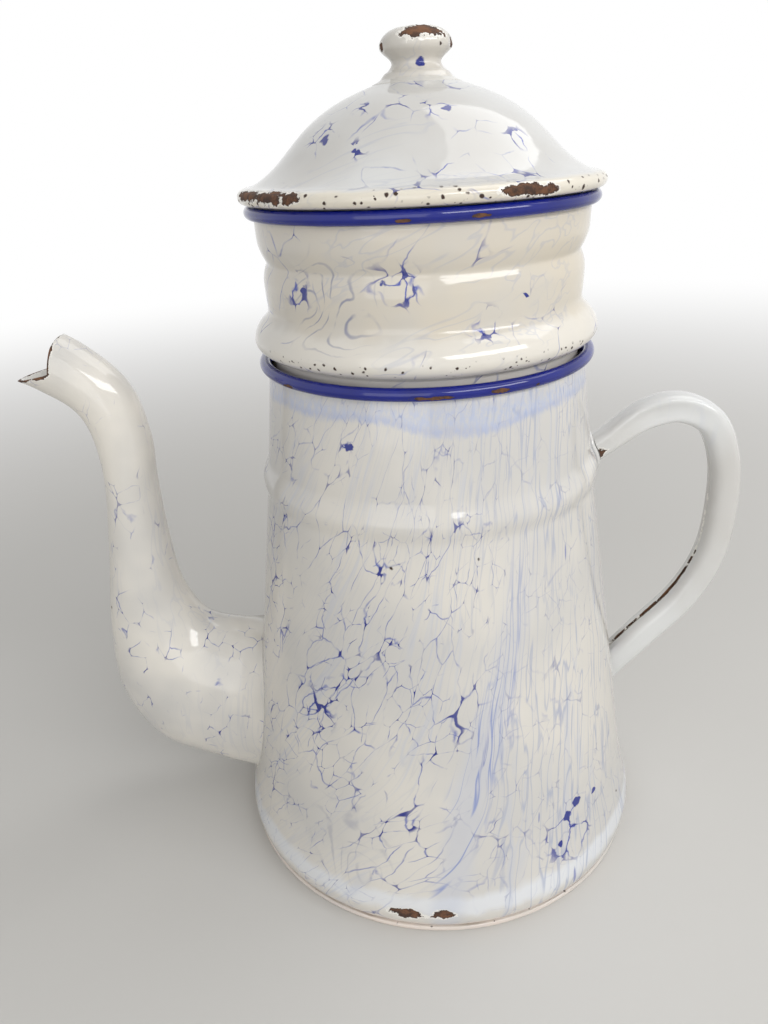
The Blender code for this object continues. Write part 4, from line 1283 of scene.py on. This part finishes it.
def make_lug():
    """Rounded plate on the pot under the handle's upper end, thinned to nothing at its edge."""
    body = bmesh.new()
    row_size = LUG_GRID + 1
    for thick in (0, LUG_THICK - ON_POT):
        spots = []
        for index in range(row_size * row_size):
            u = 2 * (index % row_size) / LUG_GRID - 1
            v = 2 * (index // row_size) / LUG_GRID - 1
            y = LUG_WIDTH / 2 * u * math.sqrt(1 - 0.42 * v * v)
            z = (LUG_LOW + LUG_HIGH) / 2 + (LUG_HIGH - LUG_LOW) / 2 * v * math.sqrt(1 - 0.42 * u * u)
            edge = min(1, 3.2 * (1 - max(abs(u), abs(v))))
            out = pot_radius(z) + ON_POT + thick * math.sqrt(max(0, 1 - (1 - edge) ** 2))
            spots.append(body.verts.new(Vector((math.sqrt(out * out - y * y), y, z)) * MM))
        for row in range(LUG_GRID):
            for corner in range(row * row_size, row * row_size + LUG_GRID):
                above = corner + row_size
                body.faces.new([spots[corner], spots[corner + 1], spots[above + 1], spots[above]])
    bmesh.ops.remove_doubles(body, verts=body.verts, dist=2e-6)
    mesh = new_mesh("handle_plate", body, HANDLE_ENAMEL)
    keep_field(mesh, "outside", np.ones(len(mesh.vertices)))
    piece("handle_plate", mesh, "pot", "handle_lug")


make_pot()
make_base()
make_wire("pot_wire", "pot", "pot_rim_wire", POT_ROLL_RADIUS, POT_RIM_Z, RIM_ROLL)
make_spout()
make_handle()
make_lug()
make_chamber()
make_wire("chamber_wire", "filter", "filter_rim_wire", FILTER_ROLL_RADIUS, FILTER_RIM_Z, RIM_ROLL)
make_floor_plate()
make_spreader_dish()
make_spreader_rod()
make_spreader_grip()
make_dome()
make_lid_ring()
make_knob()
make_rivet()
make_wire("lid_wire", "lid", "lid_rim_wire", LID_ROLL_RADIUS, LID_RIM_Z, LID_ROLL)


# Stage

FLOOR_REACH = 6.0

# Each lamp's name, place, aim, width, height and power
LAMPS = (
    ("window", (0.72, -0.78, 0.8), (0, 0, 0.13), 1.2, 0.32, 8.5),
    ("front_fill", (-0.32, -0.95, 0.4), (-0.03, 0, 0.1), 0.8, 0.8, 2.5),
    ("sky", (0.56, 0.25, 1.16), (0, 0, 0.2), 0.9, 0.9, 4.6),
)
IMAGE_HEIGHT = 1024
FOCAL_PIXELS = 800.0
SENSOR_HEIGHT = 24.0
CAMERA_PLACE = (0, -0.2403, 0.2242)
CAMERA_YAW = -0.0630
CAMERA_PITCH = 0.4335
CAMERA_ROLL = 0.0567


def background_rays(tree):
    """1 for the rays that show the white background: straight to the camera, by gloss or through glass."""
    camera = put(tree, "LightPath", output="Is Camera Ray")
    return largest(camera, camera.other("Is Glossy Ray"), camera.other("Is Transmission Ray"))


def end_shader(amount, under, over, out):
    """Ends a tree in one shader over another by an amount."""
    both = put(amount.tree, "MixShader", {0: amount, 1: under, 2: over})
    amount.tree.links.new(both.socket, out.inputs["Surface"])


def make_floor():
    """Level floor that pales to white far from the pot, so that no hard horizon shows."""
    mesh = bpy.data.meshes.new("floor")
    spots = [(x * FLOOR_REACH, y * FLOOR_REACH, 0) for x, y in ((-1, -1), (1, -1), (1, 1), (-1, 1))]
    mesh.from_pydata(spots, [], [(0, 1, 2, 3)])
    made, tree, shader, place = new_finish("pale_floor")
    paint = tint(cloud(place, 0.25, 3), FLOOR_GREY, FLOOR_PALE)
    tree.links.new(paint.socket, shader.inputs["Base Color"])
    shader.inputs["Roughness"].default_value = 0.8
    white = put(tree, "Emission", {"Color": WHITE, "Strength": 1})
    away = put(tree, "VectorMath", {0: place}, "Value", operation="LENGTH")
    far = fade(away, 0.2, 1.2) * background_rays(tree)
    end_shader(far, Field(tree, shader.outputs[0]), white, tree.nodes["Material Output"])
    mesh.materials.append(made)
    show("floor", mesh)


def make_light():
    for name, place, aim, width, height, power in LAMPS:
        data = bpy.data.lights.new(name, "AREA")
        data.shape = "RECTANGLE"
        data.size = width
        data.size_y = height
        data.energy = power
        made = show(name, data)
        made.location = place
        made.rotation_euler = (Vector(aim) - Vector(place)).to_track_quat("-Z", "Y").to_euler()
    world = bpy.data.worlds.new("studio")
    bpy.context.scene.world = world
    world.use_nodes = True
    tree = world.node_tree
    tree.nodes.clear()
    soft = put(tree, "Background", {"Color": (1, 0.99, 0.97, 1), "Strength": 0.34})
    white = put(tree, "Background", {"Color": WHITE, "Strength": 1})
    end_shader(background_rays(tree), soft, white, tree.nodes.new("ShaderNodeOutputWorld"))


def make_camera():
    data = bpy.data.cameras.new("camera")
    data.sensor_fit = "VERTICAL"
    data.sensor_height = SENSOR_HEIGHT
    data.lens = SENSOR_HEIGHT * FOCAL_PIXELS / IMAGE_HEIGHT
    data.clip_start = 0.01
    flat = math.cos(CAMERA_PITCH)
    ahead = Vector((math.sin(CAMERA_YAW) * flat, math.cos(CAMERA_YAW) * flat, -math.sin(CAMERA_PITCH)))
    level = Vector((math.cos(CAMERA_YAW), -math.sin(CAMERA_YAW), 0))
    down = ahead.cross(level)
    right = math.cos(CAMERA_ROLL) * level + math.sin(CAMERA_ROLL) * down
    down = -math.sin(CAMERA_ROLL) * level + math.cos(CAMERA_ROLL) * down
    axes = Matrix((right, -down, -ahead)).transposed().to_4x4()
    camera = show("camera", data)
    camera.matrix_world = Matrix.Translation(CAMERA_PLACE) @ axes
    bpy.context.scene.camera = camera


make_floor()
make_light()
make_camera()
bpy.context.scene.view_settings.view_transform = "Standard"
